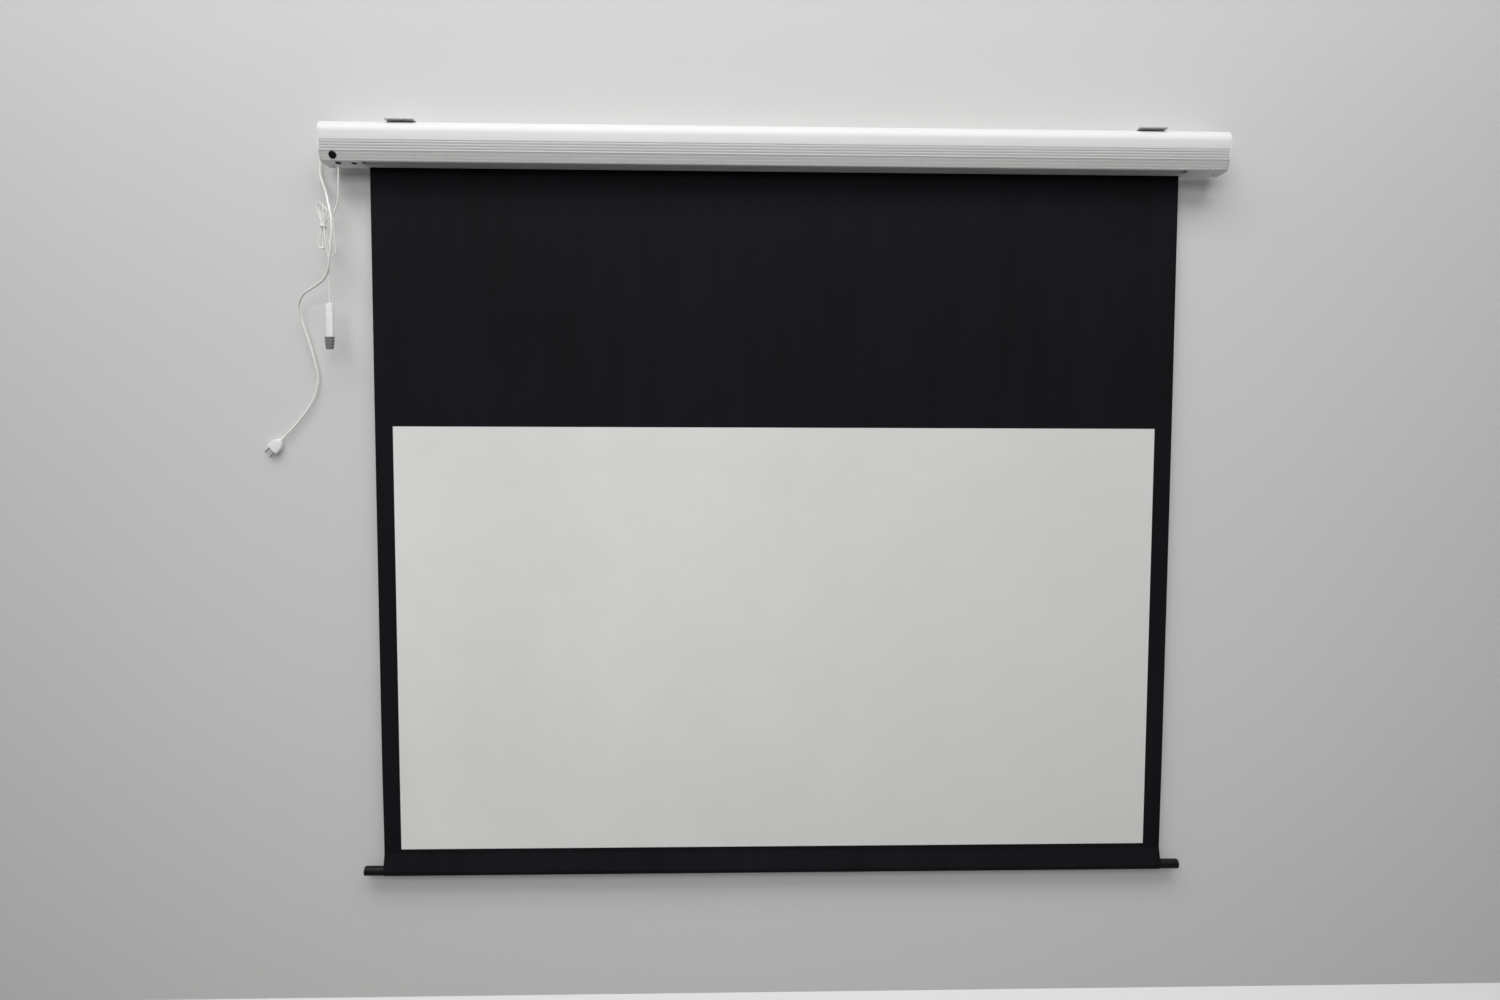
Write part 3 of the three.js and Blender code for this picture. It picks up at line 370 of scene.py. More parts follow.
def band(outer: np.ndarray, inner: np.ndarray, places: np.ndarray, middle: np.ndarray) -> Surface:
    """A closed band: outlines along its outside, then back along its inside.

    Args:
        outer: outlines of its outside.
        inner: outlines of its inside, in the opposite order.
        places: the place along Z of each outline, outside first.
        middle: where the band's centre stands.

    Returns:
        The closed surface.
    """
    return grid(raised(np.vstack([outer, inner]), places) + middle, ring=True, loop=True)


def arc(centre: Sequence[float], radii: Sequence[float], start: float, end: float, steps: int) -> np.ndarray:
    """Points of an elliptical arc, centre + (cos a * rx, sin a * ry).

    Args:
        centre: the ellipse's centre.
        radii: its two radii.
        start: first angle, in degrees.
        end: last angle, in degrees.
        steps: how many steps lie between them.

    Returns:
        The points, as rows of 2.
    """
    angle = np.radians(np.linspace(start, end, steps + 1))
    return np.asarray(centre, float) + np.stack([np.cos(angle), np.sin(angle)], 1) * np.asarray(radii, float)


def in_room(x: np.ndarray, section: np.ndarray) -> np.ndarray:
    """Points of the case's section, depth and height on the last axis, set out at an X each."""
    return np.stack([np.broadcast_to(x, section.shape[:-1]), REAR_Y - section[..., 0],
                     UNDER_Z + section[..., 1]], -1)


def box_surface(low: Sequence[float], high: Sequence[float]) -> Surface:
    """A plain box, for cutting with.

    Args:
        low: its corner with the least X, Y and Z.
        high: the opposite corner.

    Returns:
        The closed surface.
    """
    centre, size = np.add(high, low) / 2, np.subtract(high, low)
    outline = rounded_rings(size[0], size[1], HAIR, 1).repeat(2, 0)
    return loft(outline, np.array([-size[2] / 2, size[2] / 2])).moved(centre)


def corners(box: Sequence[Sequence[float]]) -> tuple[np.ndarray, np.ndarray]:
    """The low and high corners of a box that the frame gives, in millimetres."""
    return np.array(box[0]) / MM, np.array(box[1]) / MM


# Shaders


class Sock:
    """Wraps a shader's output socket, so that sums on it add Math nodes."""

    def __init__(self, shader: Shader, socket: bpy.types.NodeSocket) -> None:
        """Keeps the shader that new nodes go into."""
        self.shader, self.socket = shader, socket

    def math(self, operation: str, *values: Sock | float) -> Sock:
        """A Math node on the values in the order given."""
        return self.shader.node("ShaderNodeMath", {"operation": operation}, dict(enumerate(values)))

    def __add__(self, other: Sock | float) -> Sock:
        """self + other."""
        return self.math("ADD", self, other)

    def __sub__(self, other: Sock | float) -> Sock:
        """self - other."""
        return self.math("SUBTRACT", self, other)

    def __rsub__(self, other: float) -> Sock:
        """other - self."""
        return self.math("SUBTRACT", other, self)

    def __mul__(self, other: Sock | float) -> Sock:
        """self * other."""
        return self.math("MULTIPLY", self, other)

    __radd__, __rmul__ = __add__, __mul__

    def sine(self) -> Sock:
        """The sine of the value."""
        return self.math("SINE", self)

    def ramp(self, low: float, high: float, start: float = 0.0, end: float = 1.0) -> Sock:
        """Goes smoothly from start at low to end at high, and stays there."""
        return self.shader.node("ShaderNodeMapRange", {"interpolation_type": "SMOOTHSTEP"},
                                {0: self, 1: low, 2: high, 3: start, 4: end})

    def spread(self, start: float = 0.0, end: float = 1.0) -> Sock:
        """A noise's middle range, 0.3 to 0.7, drawn out to go from start to end."""
        return self.ramp(0.3, 0.7, start, end)


Input = Sock | float | tuple


class Shader:
    """A node tree under construction, of a material or of the world."""

    def __init__(self, owner: bpy.types.Material | bpy.types.World) -> None:
        """Empties the owner's node tree.

        Args:
            owner: the material or world whose tree this is.
        """
        owner.use_nodes = True
        self.tree = owner.node_tree
        self.tree.nodes.clear()

    def node(self, kind: str, settings: dict[str, object] | None = None,
             inputs: dict[int | str, Input] | None = None, out: int | str = 0) -> Sock:
        """Adds a node.

        Args:
            kind: the node's type.
            settings: its properties, which are set before its inputs.
            inputs: a value or a socket for each input, by number or name.
            out: the output to return.

        Returns:
            The wrapped output.
        """
        made = self.tree.nodes.new(kind)
        for key, value in (settings or {}).items():
            setattr(made, key, value)
        for key, value in (inputs or {}).items():
            if isinstance(value, Sock):
                self.tree.links.new(value.socket, made.inputs[key])
            else:
                made.inputs[key].default_value = value
        return Sock(self, made.outputs[out] if len(made.outputs) else None)

    def place(self, scale: tuple[float, float, float] = (1, 1, 1)) -> Sock:
        """Object coordinates, stretched by a scale for each axis."""
        coordinates = self.node("ShaderNodeTexCoord", out="Object")
        return self.node("ShaderNodeMapping", {}, {"Vector": coordinates, "Scale": scale})

    def part(self, vector: Sock, axis: str) -> Sock:
        """One axis of a vector."""
        return self.node("ShaderNodeSeparateXYZ", {}, {0: vector}, out=axis)

    def noise(self, vector: Sock, scale: float, detail: float = 3.0, roughness: float = 0.55) -> Sock:
        """Cloudy noise from 0 to 1."""
        return self.node("ShaderNodeTexNoise", {},
                         {"Vector": vector, "Scale": scale, "Detail": detail, "Roughness": roughness})

    def mix(self, share: Sock, a: tuple | Sock, b: tuple | Sock) -> Sock:
        """Colour that goes from a to b with the share."""
        return self.node("ShaderNodeMix", {"data_type": "RGBA"}, {0: share, 6: a, 7: b}, out=2)

    def tones(self, share: Sock, colour: Colour, dark: float, light: float) -> Sock:
        """A colour that goes from its dark share to its light share."""
        return self.mix(share, tone(colour, dark), tone(colour, light))

    def bump(self, height: Sock, depth: float, strength: float = 1.0) -> Sock:
        """Normal from a height between 0 and 1 that stands for a depth in metres."""
        return self.node("ShaderNodeBump", {}, {"Height": height, "Distance": depth, "Strength": strength})

    def surface(self, inputs: dict[int | str, Input]) -> None:
        """Ends the tree in a Principled shader."""
        shader = self.node("ShaderNodeBsdfPrincipled", {}, inputs)
        self.node("ShaderNodeOutputMaterial", {}, {"Surface": shader})


def tone(colour: Colour, share: float = 1.0) -> tuple[float, float, float, float]:
    """A linear colour, darker or lighter by a share, with full alpha."""
    return (*(min(1.0, c * share) for c in colour), 1.0)


@dataclass(frozen=True)
class Finish:
    """A finish of the record: its slot, its colour in linear light and how rough it is.

    Each finish adds the depth of its grain, in metres, and what else sets it apart.
    """

    slot: str
    colour: Colour
    roughness: float

    def shade(self, shader: Shader) -> None:
        """Fills in the material's node tree, which each finish does in its own way."""
        raise NotImplementedError

    @property
    def material(self) -> bpy.types.Material:
        """The finish's material, made when it is first asked for."""
        name = f"finish_{self.slot}"
        if name not in bpy.data.materials:
            self.shade(Shader(bpy.data.materials.new(name)))
        return bpy.data.materials[name]


@dataclass(frozen=True)
class PowderCoat(Finish):
    """Satin white powder coat: a very fine orange peel, dust with painted shade on upward faces, a grey
    painted shade on faces that lean down.
    """

    grain: float = 0.000015
    # Dust on upward faces, darker than dust alone: painted shade that tones down the lit top.
    dust_and_shade: Colour = (0.64, 0.63, 0.605)
    # Painted shade: the grey tone of faces that lean down, such as the lower facet.
    painted_shade: Colour = (0.60, 0.61, 0.59)

    def shade(self, shader: Shader) -> None:
        """Peel from two noises; the dust with painted shade on upward faces and the painted shade on faces
        leaning down follow the normal's Z, broken up by clouds along the case.
        """
        place = shader.place()
        peel = shader.noise(place, 420.0, 2.0) * 0.6 + shader.noise(place, 1500.0, 1.0) * 0.4
        clouds = shader.noise(shader.place((0.8, 6.0, 6.0)), 3.0, 4.0)
        up = shader.part(shader.node("ShaderNodeNewGeometry", out="Normal"), "Z")
        # Painted shade: upward faces darken towards the dust tone, and faces leaning down towards the grey
        # one.
        dust_and_shade_mask = up.ramp(0.35, 1.0) * clouds.ramp(0.3, 0.8, 0.35, 0.65)
        leaning = up.ramp(-0.35, -0.05, 1.0, 0.0) * up.ramp(-0.9, -0.6)
        clean = shader.tones(clouds.spread(), self.colour, 0.975, 1.01)
        painted_shade_mix = shader.mix(leaning * clouds.ramp(0.3, 0.8, 0.85, 1.0), clean, tone(self.painted_shade))
        shader.surface({
            "Base Color": shader.mix(dust_and_shade_mask, painted_shade_mix, tone(self.dust_and_shade)),
            "Roughness": clouds.spread(self.roughness - 0.04, self.roughness + 0.04),
            "Normal": shader.bump(peel, self.grain),
            "Coat Roughness": 0.4, "Coat Weight": 0.06, "Specular IOR Level": 0.35,
        })


@dataclass(frozen=True)
class Moulded(Finish):
    """Moulded plastic with a fine spark-eroded grain and faint flow marks."""

    grain: float = 0.00003

    def shade(self, shader: Shader) -> None:
        """Grain from a cell pattern at 0.6 mm, flow marks from noise drawn out along X."""
        cells = shader.node("ShaderNodeTexVoronoi", {"feature": "SMOOTH_F1"},
                            {"Vector": shader.place(), "Scale": 1700.0})
        flow = shader.noise(shader.place((3.0, 20.0, 20.0)), 4.0)
        shader.surface({
            "Base Color": shader.tones(flow.spread(), self.colour, 0.95, 1.03),
            "Roughness": flow.spread(self.roughness - 0.05, self.roughness + 0.05),
            "Normal": shader.bump(cells, self.grain),
        })


@dataclass(frozen=True)
class InfraredWindow(Finish):
    """Polished near-black plastic that lets infrared through: a red-violet sheen under a clear coat."""

    sheen: Colour = (0.8, 0.3, 0.55)

    def shade(self, shader: Shader) -> None:
        """Small clouds vary the dark base and its gloss; the sheen is tinted where light grazes it."""
        clouds = shader.noise(shader.place(), 300.0)
        shader.surface({
            "Base Color": shader.tones(clouds.spread(), self.colour, 1.0, 1.4),
            "Roughness": clouds.spread(self.roughness, self.roughness + 0.05),
            "Coat Weight": 0.6, "Coat Roughness": 0.05,
            "Sheen Weight": 0.05, "Sheen Roughness": 0.3, "Sheen Tint": tone(self.sheen),
        })


@dataclass(frozen=True)
class Rubber(Finish):
    """Matt rubber with a dusty bloom."""

    grain: float = 0.00005
    bloomed: float = 0.95

    def shade(self, shader: Shader) -> None:
        """Bloom lightens and roughens the rubber where a noise is high."""
        fine = shader.noise(shader.place(), 900.0)
        bloom = shader.noise(shader.place(), 120.0).ramp(0.45, 0.8)
        shader.surface({
            "Base Color": shader.tones(bloom, self.colour, 1.0, 2.2),
            "Roughness": bloom.ramp(0.0, 1.0, self.roughness, self.bloomed),
            "Normal": shader.bump(fine, self.grain),
            "Sheen Weight": 0.1,
        })


@dataclass(frozen=True)
class Sheath(Finish):
    """Soft cord sheath: satin, with shallow waves where the cores lie twisted under it and handling marks."""

    grain: float = 0.00012
    lay: float = 420.0
    handled: Colour = (0.66, 0.64, 0.58)

    def shade(self, shader: Shader) -> None:
        """Waves slant across Z and X; marks darken the colour in small clouds."""
        place = shader.place()
        slant = (shader.part(place, "X") + shader.part(place, "Z")) * self.lay
        waves = slant.sine() * 0.5 + 0.5
        marks = shader.noise(place, 60.0, 4.0).ramp(0.55, 0.8)
        fine = shader.noise(place, 1100.0, 2.0)
        shader.surface({
            "Base Color": shader.mix(marks * 0.6, tone(self.colour), tone(self.handled)),
            "Roughness": marks.ramp(0.0, 1.0, self.roughness, self.roughness + 0.12),
            "Normal": shader.bump(waves * 0.7 + fine * 0.3, self.grain),
            "Specular IOR Level": 0.45,
        })


@dataclass(frozen=True)
class Woven(Finish):
    """Coated screen cloth: a fine plain weave under a matt coat, with soft broad clouds of tone."""

    pitch: float = 0.0007
    grain: float = 0.00004

    def weave(self, shader: Shader, strength: float) -> Sock:
        """Normal of a plain weave: the product of two sines of X and Z, one thread each half wave.

        Args:
            shader: the node tree that it goes into.
            strength: how strongly it shows, from 0 to 1.

        Returns:
            The normal.
        """
        place = shader.place()
        x, z = (shader.part(place, axis) * (math.pi / self.pitch) for axis in "XZ")
        return shader.bump(x.sine() * z.sine() * 0.5 + 0.5, self.grain, strength)


@dataclass(frozen=True)
class BlackCloth(Woven):
    """The black backing and border: bluish black with a faint sheen and upright streaks."""

    sheen: Colour = (0.6, 0.65, 1.0)

    def shade(self, shader: Shader) -> None:
        """Streaks come from noise drawn out along Z, the weave from crossed sines."""
        streaks = shader.noise(shader.place((3.0, 1.0, 0.25)), 6.0, 4.0)
        clouds = shader.noise(shader.place(), 2.0, 3.0)
        tones = streaks.ramp(0.35, 0.7) * 0.5 + clouds.ramp(0.3, 0.75) * 0.5
        shader.surface({
            "Base Color": shader.tones(tones, self.colour, 0.6, 1.5),
            "Roughness": tones.ramp(0.0, 1.0, self.roughness - 0.06, self.roughness + 0.05),
            "Normal": self.weave(shader, 0.5),
            "Specular IOR Level": 0.14,
            "Sheen Weight": 0.006, "Sheen Roughness": 0.5, "Sheen Tint": tone(self.sheen),
        })


@dataclass(frozen=True)
class WhiteCloth(Woven):
    """The matt white viewing area: warm grey-white with soft mottling, very fine grain and painted shade
    towards the bottom right.
    """

    pitch: float = 0.0005
    grain: float = 0.00002
    # The tone of the painted shade that the cloth takes towards its bottom right.
    painted_falloff: Colour = (0.705, 0.71, 0.695)

    def shade(self, shader: Shader) -> None:
        """Two sizes of cloud mix two tones, and a broad painted shade darkens the cloth down and to the
        right.
        """
        clouds = shader.noise(shader.place((1.0, 1.0, 0.8)), 1.6, 4.0, 0.6)
        mottle = shader.noise(shader.place((1.0, 1.0, 1.2)), 9.0, 3.0)
        tones = clouds.spread() * 0.75 + mottle.spread() * 0.25
        place = shader.place()
        # Painted shade: grows towards the right and towards the bottom.
        falloff_mask = (shader.part(place, "X") * 0.22 - shader.part(place, "Z") * 0.1).ramp(-0.15, 0.45)
        base = shader.tones(tones, self.colour, 0.955, 1.03)
        shader.surface({
            "Base Color": shader.mix(falloff_mask * 0.7, base, tone(self.painted_falloff)),
            "Roughness": self.roughness,
            "Normal": self.weave(shader, 0.4),
            "Specular IOR Level": 0.2,
        })


@dataclass(frozen=True)
class Painted(Finish):
    """Satin black paint on a tube, with fine scuffs along it."""

    grain: float = 0.00002

    def shade(self, shader: Shader) -> None:
        """Scuffs are noise drawn out along X that lightens and roughens the paint."""
        scuffs = shader.noise(shader.place((1.0, 30.0, 30.0)), 12.0, 4.0).ramp(0.6, 0.8)
        fine = shader.noise(shader.place(), 1200.0, 2.0)
        shader.surface({
            "Base Color": shader.tones(scuffs, self.colour, 1.0, 2.0),
            "Roughness": scuffs.ramp(0.0, 1.0, self.roughness, self.roughness + 0.15),
            "Normal": shader.bump(fine, self.grain),
            "Specular IOR Level": 0.2,
        })


@dataclass(frozen=True)
class Galvanised(Finish):
    """Zinc-coated sheet: cool grey crystals of slightly different tone, with rolling lines."""

    grain: float = 0.00004

    def shade(self, shader: Shader) -> None:
        """Crystals are cells about 6 mm wide; their random tone sets colour and roughness."""
        place = shader.place()
        cells = shader.node("ShaderNodeTexVoronoi", {}, {"Vector": place, "Scale": 170.0}, out="Color")
        fine = shader.noise(place, 700.0, 3.0)
        tones = shader.part(cells, "X") * 0.6 + fine * 0.4
        shader.surface({
            "Base Color": shader.tones(tones, self.colour, 0.86, 1.12),
            "Metallic": 0.2,
            "Roughness": tones.ramp(0.0, 1.0, self.roughness - 0.08, self.roughness + 0.1),
            "Normal": shader.bump(fine, self.grain),
        })


@dataclass(frozen=True)
class TurnedMetal(Finish):
    """Bright or mill-finish metal with fine lines along its length."""

    grain: float = 0.00003

    def shade(self, shader: Shader) -> None:
        """Lines are noise drawn out along X."""
        lines = shader.noise(shader.place((2.0, 90.0, 90.0)), 20.0, 3.0)
        shader.surface({
            "Base Color": shader.tones(lines.spread(), self.colour, 0.88, 1.08),
            "Metallic": 0.95,
            "Roughness": lines.spread(self.roughness - 0.07, self.roughness + 0.08),
            "Normal": shader.bump(lines, self.grain),
        })


@dataclass(frozen=True)
class CircuitBoard(Finish):
    """Green solder mask over tracks that run both ways."""

    grain: float = 0.00004

    def shade(self, shader: Shader) -> None:
        """Tracks are a brick pattern 2 mm high, lighter than the ground."""
        tracks = shader.node("ShaderNodeTexBrick", {},
                             {"Vector": shader.place(), "Scale": 120.0, "Mortar Size": 0.06,
                              "Color1": (1, 1, 1, 1), "Color2": (0.8, 0.8, 0.8, 1), "Mortar": (0, 0, 0, 1)},
                             out="Fac")
        shader.surface({
            "Base Color": shader.tones(tracks, self.colour, 1.0, 1.8),
            "Roughness": tracks.ramp(0.0, 1.0, self.roughness, self.roughness - 0.1),
            "Normal": shader.bump(tracks, self.grain),
        })


CASE_WHITE = PowderCoat("case_white", (0.80, 0.805, 0.80), 0.48)
WHITE_PLASTIC = Moulded("white_plastic", (0.87, 0.87, 0.86), 0.45)
GREY_PLASTIC = Moulded("grey_plastic", (0.17, 0.17, 0.165), 0.55)
BLACK_PLASTIC = Moulded("black_plastic", (0.014, 0.014, 0.015), 0.38)
WINDOW_BLACK = InfraredWindow("window_black", (0.005, 0.005, 0.006), 0.12)
BLACK_RUBBER = Rubber("black_rubber", (0.018, 0.018, 0.018), 0.8)
WHITE_CORD = Sheath("white_cord", (0.86, 0.86, 0.835), 0.42)
BLACK_CLOTH = BlackCloth("black_cloth", (0.0056, 0.0055, 0.0078), 0.82)
WHITE_CLOTH = WhiteCloth("white_cloth", (0.80, 0.80, 0.78), 0.9)
BAR_BLACK = Painted("bar_black", (0.005, 0.005, 0.0055), 0.3)
ZINC_STEEL = Galvanised("zinc_steel", (0.66, 0.665, 0.67), 0.45)
PLAIN_STEEL = TurnedMetal("plain_steel", (0.5, 0.5, 0.51), 0.3)
ROLLER_ALUMINIUM = TurnedMetal("roller_aluminium", (0.62, 0.62, 0.63), 0.38)
BOARD_GREEN = CircuitBoard("board_green", (0.03, 0.12, 0.05), 0.4)
FINISHES = {finish.slot: finish for finish in (
    CASE_WHITE, WHITE_PLASTIC, GREY_PLASTIC, BLACK_PLASTIC, WINDOW_BLACK, BLACK_RUBBER, WHITE_CORD,
    BLACK_CLOTH, WHITE_CLOTH, BAR_BLACK, ZINC_STEEL, PLAIN_STEEL, ROLLER_ALUMINIUM, BOARD_GREEN)}


# Making pieces


def raw_object(name: str, surface: Surface) -> bpy.types.Object:
    """An object with the surface as a merged mesh whose faces point outwards.

    Args:
        name: the object's name.
        surface: its surface.

    Returns:
        The object, linked to the scene.
    """
    mesh = bpy.data.meshes.new(name)
    mesh.from_pydata((surface.points * MM).tolist(), [], surface.faces)
    merge(mesh, outward=True)
    made = bpy.data.objects.new(name, mesh)
    bpy.context.scene.collection.objects.link(made)
    return made


def merge(mesh: bpy.types.Mesh, outward: bool) -> None:
    """Merges doubled points and drops faces without area.

    Args:
        mesh: the mesh to clean.
        outward: also points the faces outwards.
    """
    work = bmesh.new()
    work.from_mesh(mesh)
    bmesh.ops.remove_doubles(work, verts=work.verts, dist=MERGE_AT)
    bmesh.ops.dissolve_degenerate(work, edges=work.edges, dist=THIN_AT)
    if outward:
        bmesh.ops.recalc_face_normals(work, faces=work.faces)
    work.to_mesh(mesh)
    work.free()


def round_edges(made: bpy.types.Object, radius: float) -> None:
    """Gives a piece's bent edges a rounding.

    Args:
        made: the piece's object.
        radius: the rounding's radius, in millimetres.
    """
    edge = made.modifiers.new("edges", "BEVEL")
    edge.width, edge.segments, edge.limit_method = radius * MM, 3, "ANGLE"
    edge.angle_limit = math.radians(BEVEL_ANGLE)


def applied(made: bpy.types.Object) -> None:
    """Bakes a piece's modifiers into its mesh.

    Args:
        made: the piece's object.
    """
    graph = bpy.context.evaluated_depsgraph_get()
    mesh = bpy.data.meshes.new_from_object(made.evaluated_get(graph))
    made.modifiers.clear()
    made.data = mesh


def make(name: str, surface: Surface, finish: Finish, body: Body, replaces: Sequence[str] = (),
         cutters: Sequence[Surface] = (), bevel: float = 0.0, wall: float = 0.0,
         sharp: float = SHARP_ANGLE) -> bpy.types.Object:
    """Makes a finished piece of the object.

    Args:
        name: the piece's name.
        surface: its closed surface, or an open one if it gets a wall.
        finish: what it is finished in.
        body: the body that it rides on.
        replaces: the CAD nodes that it stands for.
        cutters: closed surfaces that are cut out of it.
        bevel: radius of its rounded edges, in millimetres.
        wall: thickness that an open surface gets, half to each side.
        sharp: faces that meet at more than this angle keep a sharp edge.

    Returns:
        The piece's object.
    """
    made = raw_object(name, surface)
    tools = [raw_object(f"{name}_cutter_{i}", cutter) for i, cutter in enumerate(cutters)]
    for tool in tools:
        cut = made.modifiers.new(tool.name, "BOOLEAN")
        cut.operation, cut.solver, cut.object = "DIFFERENCE", "EXACT", tool
    if wall:
        thick = made.modifiers.new("wall", "SOLIDIFY")
        thick.thickness, thick.offset = wall * MM, 0.0
    if bevel:
        round_edges(made, bevel)
    if made.modifiers:
        applied(made)
    for tool in tools:
        bpy.data.objects.remove(tool)
    return finished(made, finish, body, replaces, sharp)


def eased(name: str, node: str, finish: Finish, body: Body, bevel: float) -> bpy.types.Object:
    """Makes a copy of a CAD node with its edges rounded, which replaces the node.

    Args:
        name: the piece's name.
        node: the CAD node.
        finish: what it is finished in.
        body: the body that it rides on.
        bevel: radius of its rounded edges, in millimetres.

    Returns:
        The piece's object.
    """
    made = frame["nodes"][node].copy()
    made.data = made.data.copy()
    made.name = name
    made.parent = None
    for key in list(made.keys()):
        del made[key]
    bpy.context.scene.collection.objects.link(made)
    merge(made.data, outward=False)
    flat = made.modifiers.new("flat", "DECIMATE")
    flat.decimate_type, flat.angle_limit = "DISSOLVE", math.radians(FLAT_ANGLE)
    round_edges(made, bevel)
    applied(made)
    return finished(made, finish, body, (node,), SHARP_ANGLE)


def finished(made: bpy.types.Object, finish: Finish, body: Body, replaces: Sequence[str],
             sharp: float) -> bpy.types.Object:
    """Smooths a piece, gives it its material, sets it on its body and hides the CAD nodes that it replaces.

    Args:
        made: the piece's object.
        finish: what it is finished in.
        body: the body that it rides on.
        replaces: the CAD nodes that it stands for.
        sharp: faces that meet at more than this angle keep a sharp edge.

    Returns:
        The same object.
    """
    made.data.shade_smooth()
    made.data.set_sharp_from_angle(angle=math.radians(sharp))
    made.data.materials.clear()
    made.data.materials.append(finish.material)
    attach(made, body.value)
    if replaces:
        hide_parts(*replaces)
    LOG.info("%s: %d faces", made.name, len(made.data.polygons))
    return made


def dress(node: str, finish: Finish) -> None:
    """Gives a CAD node that keeps its shape a finish.

    Args:
        node: the CAD node.
        finish: what it is finished in.
    """
    for place in frame["nodes"][node].material_slots:
        place.material = finish.material
    LOG.info("%s keeps its solid, in %s", node, finish.slot)


# Camera


@dataclass(frozen=True)
class Camera:
    """The camera that the photograph was taken with: place in millimetres, turns in degrees."""

    place: Place = (-140.0, -2502.7, -880.8)
    yaw: float = -1.385
    pitch: float = -3.113
    roll: float = -0.147
    focal_share: float = 850 / 1500
    sensor: float = 36.0
    clip: tuple[float, float] = (0.05, 100.0)

    def build(self) -> None:
        """Looks along +Y, turned by yaw about Z, pitch about X and roll about the view."""
        yaw, pitch, roll = (Matrix.Rotation(math.radians(angle), 3, axis)
                            for angle, axis in ((self.yaw, "Z"), (self.pitch, "X"), (self.roll, "Y")))
        right, forward, up = (yaw @ pitch @ roll).col
        data = bpy.data.cameras.new("camera")
        data.sensor_width, data.sensor_fit = self.sensor, "HORIZONTAL"
        data.lens = self.sensor * self.focal_share
        data.clip_start, data.clip_end = self.clip
        made = bpy.data.objects.new("camera", data)
        stand = Matrix.Translation(Vector(self.place) * MM)
        made.matrix_world = stand @ Matrix((right, up, -forward)).transposed().to_4x4()
        bpy.context.scene.collection.objects.link(made)
        bpy.context.scene.camera = made
        LOG.info("camera at %s", self.place)


# Cords


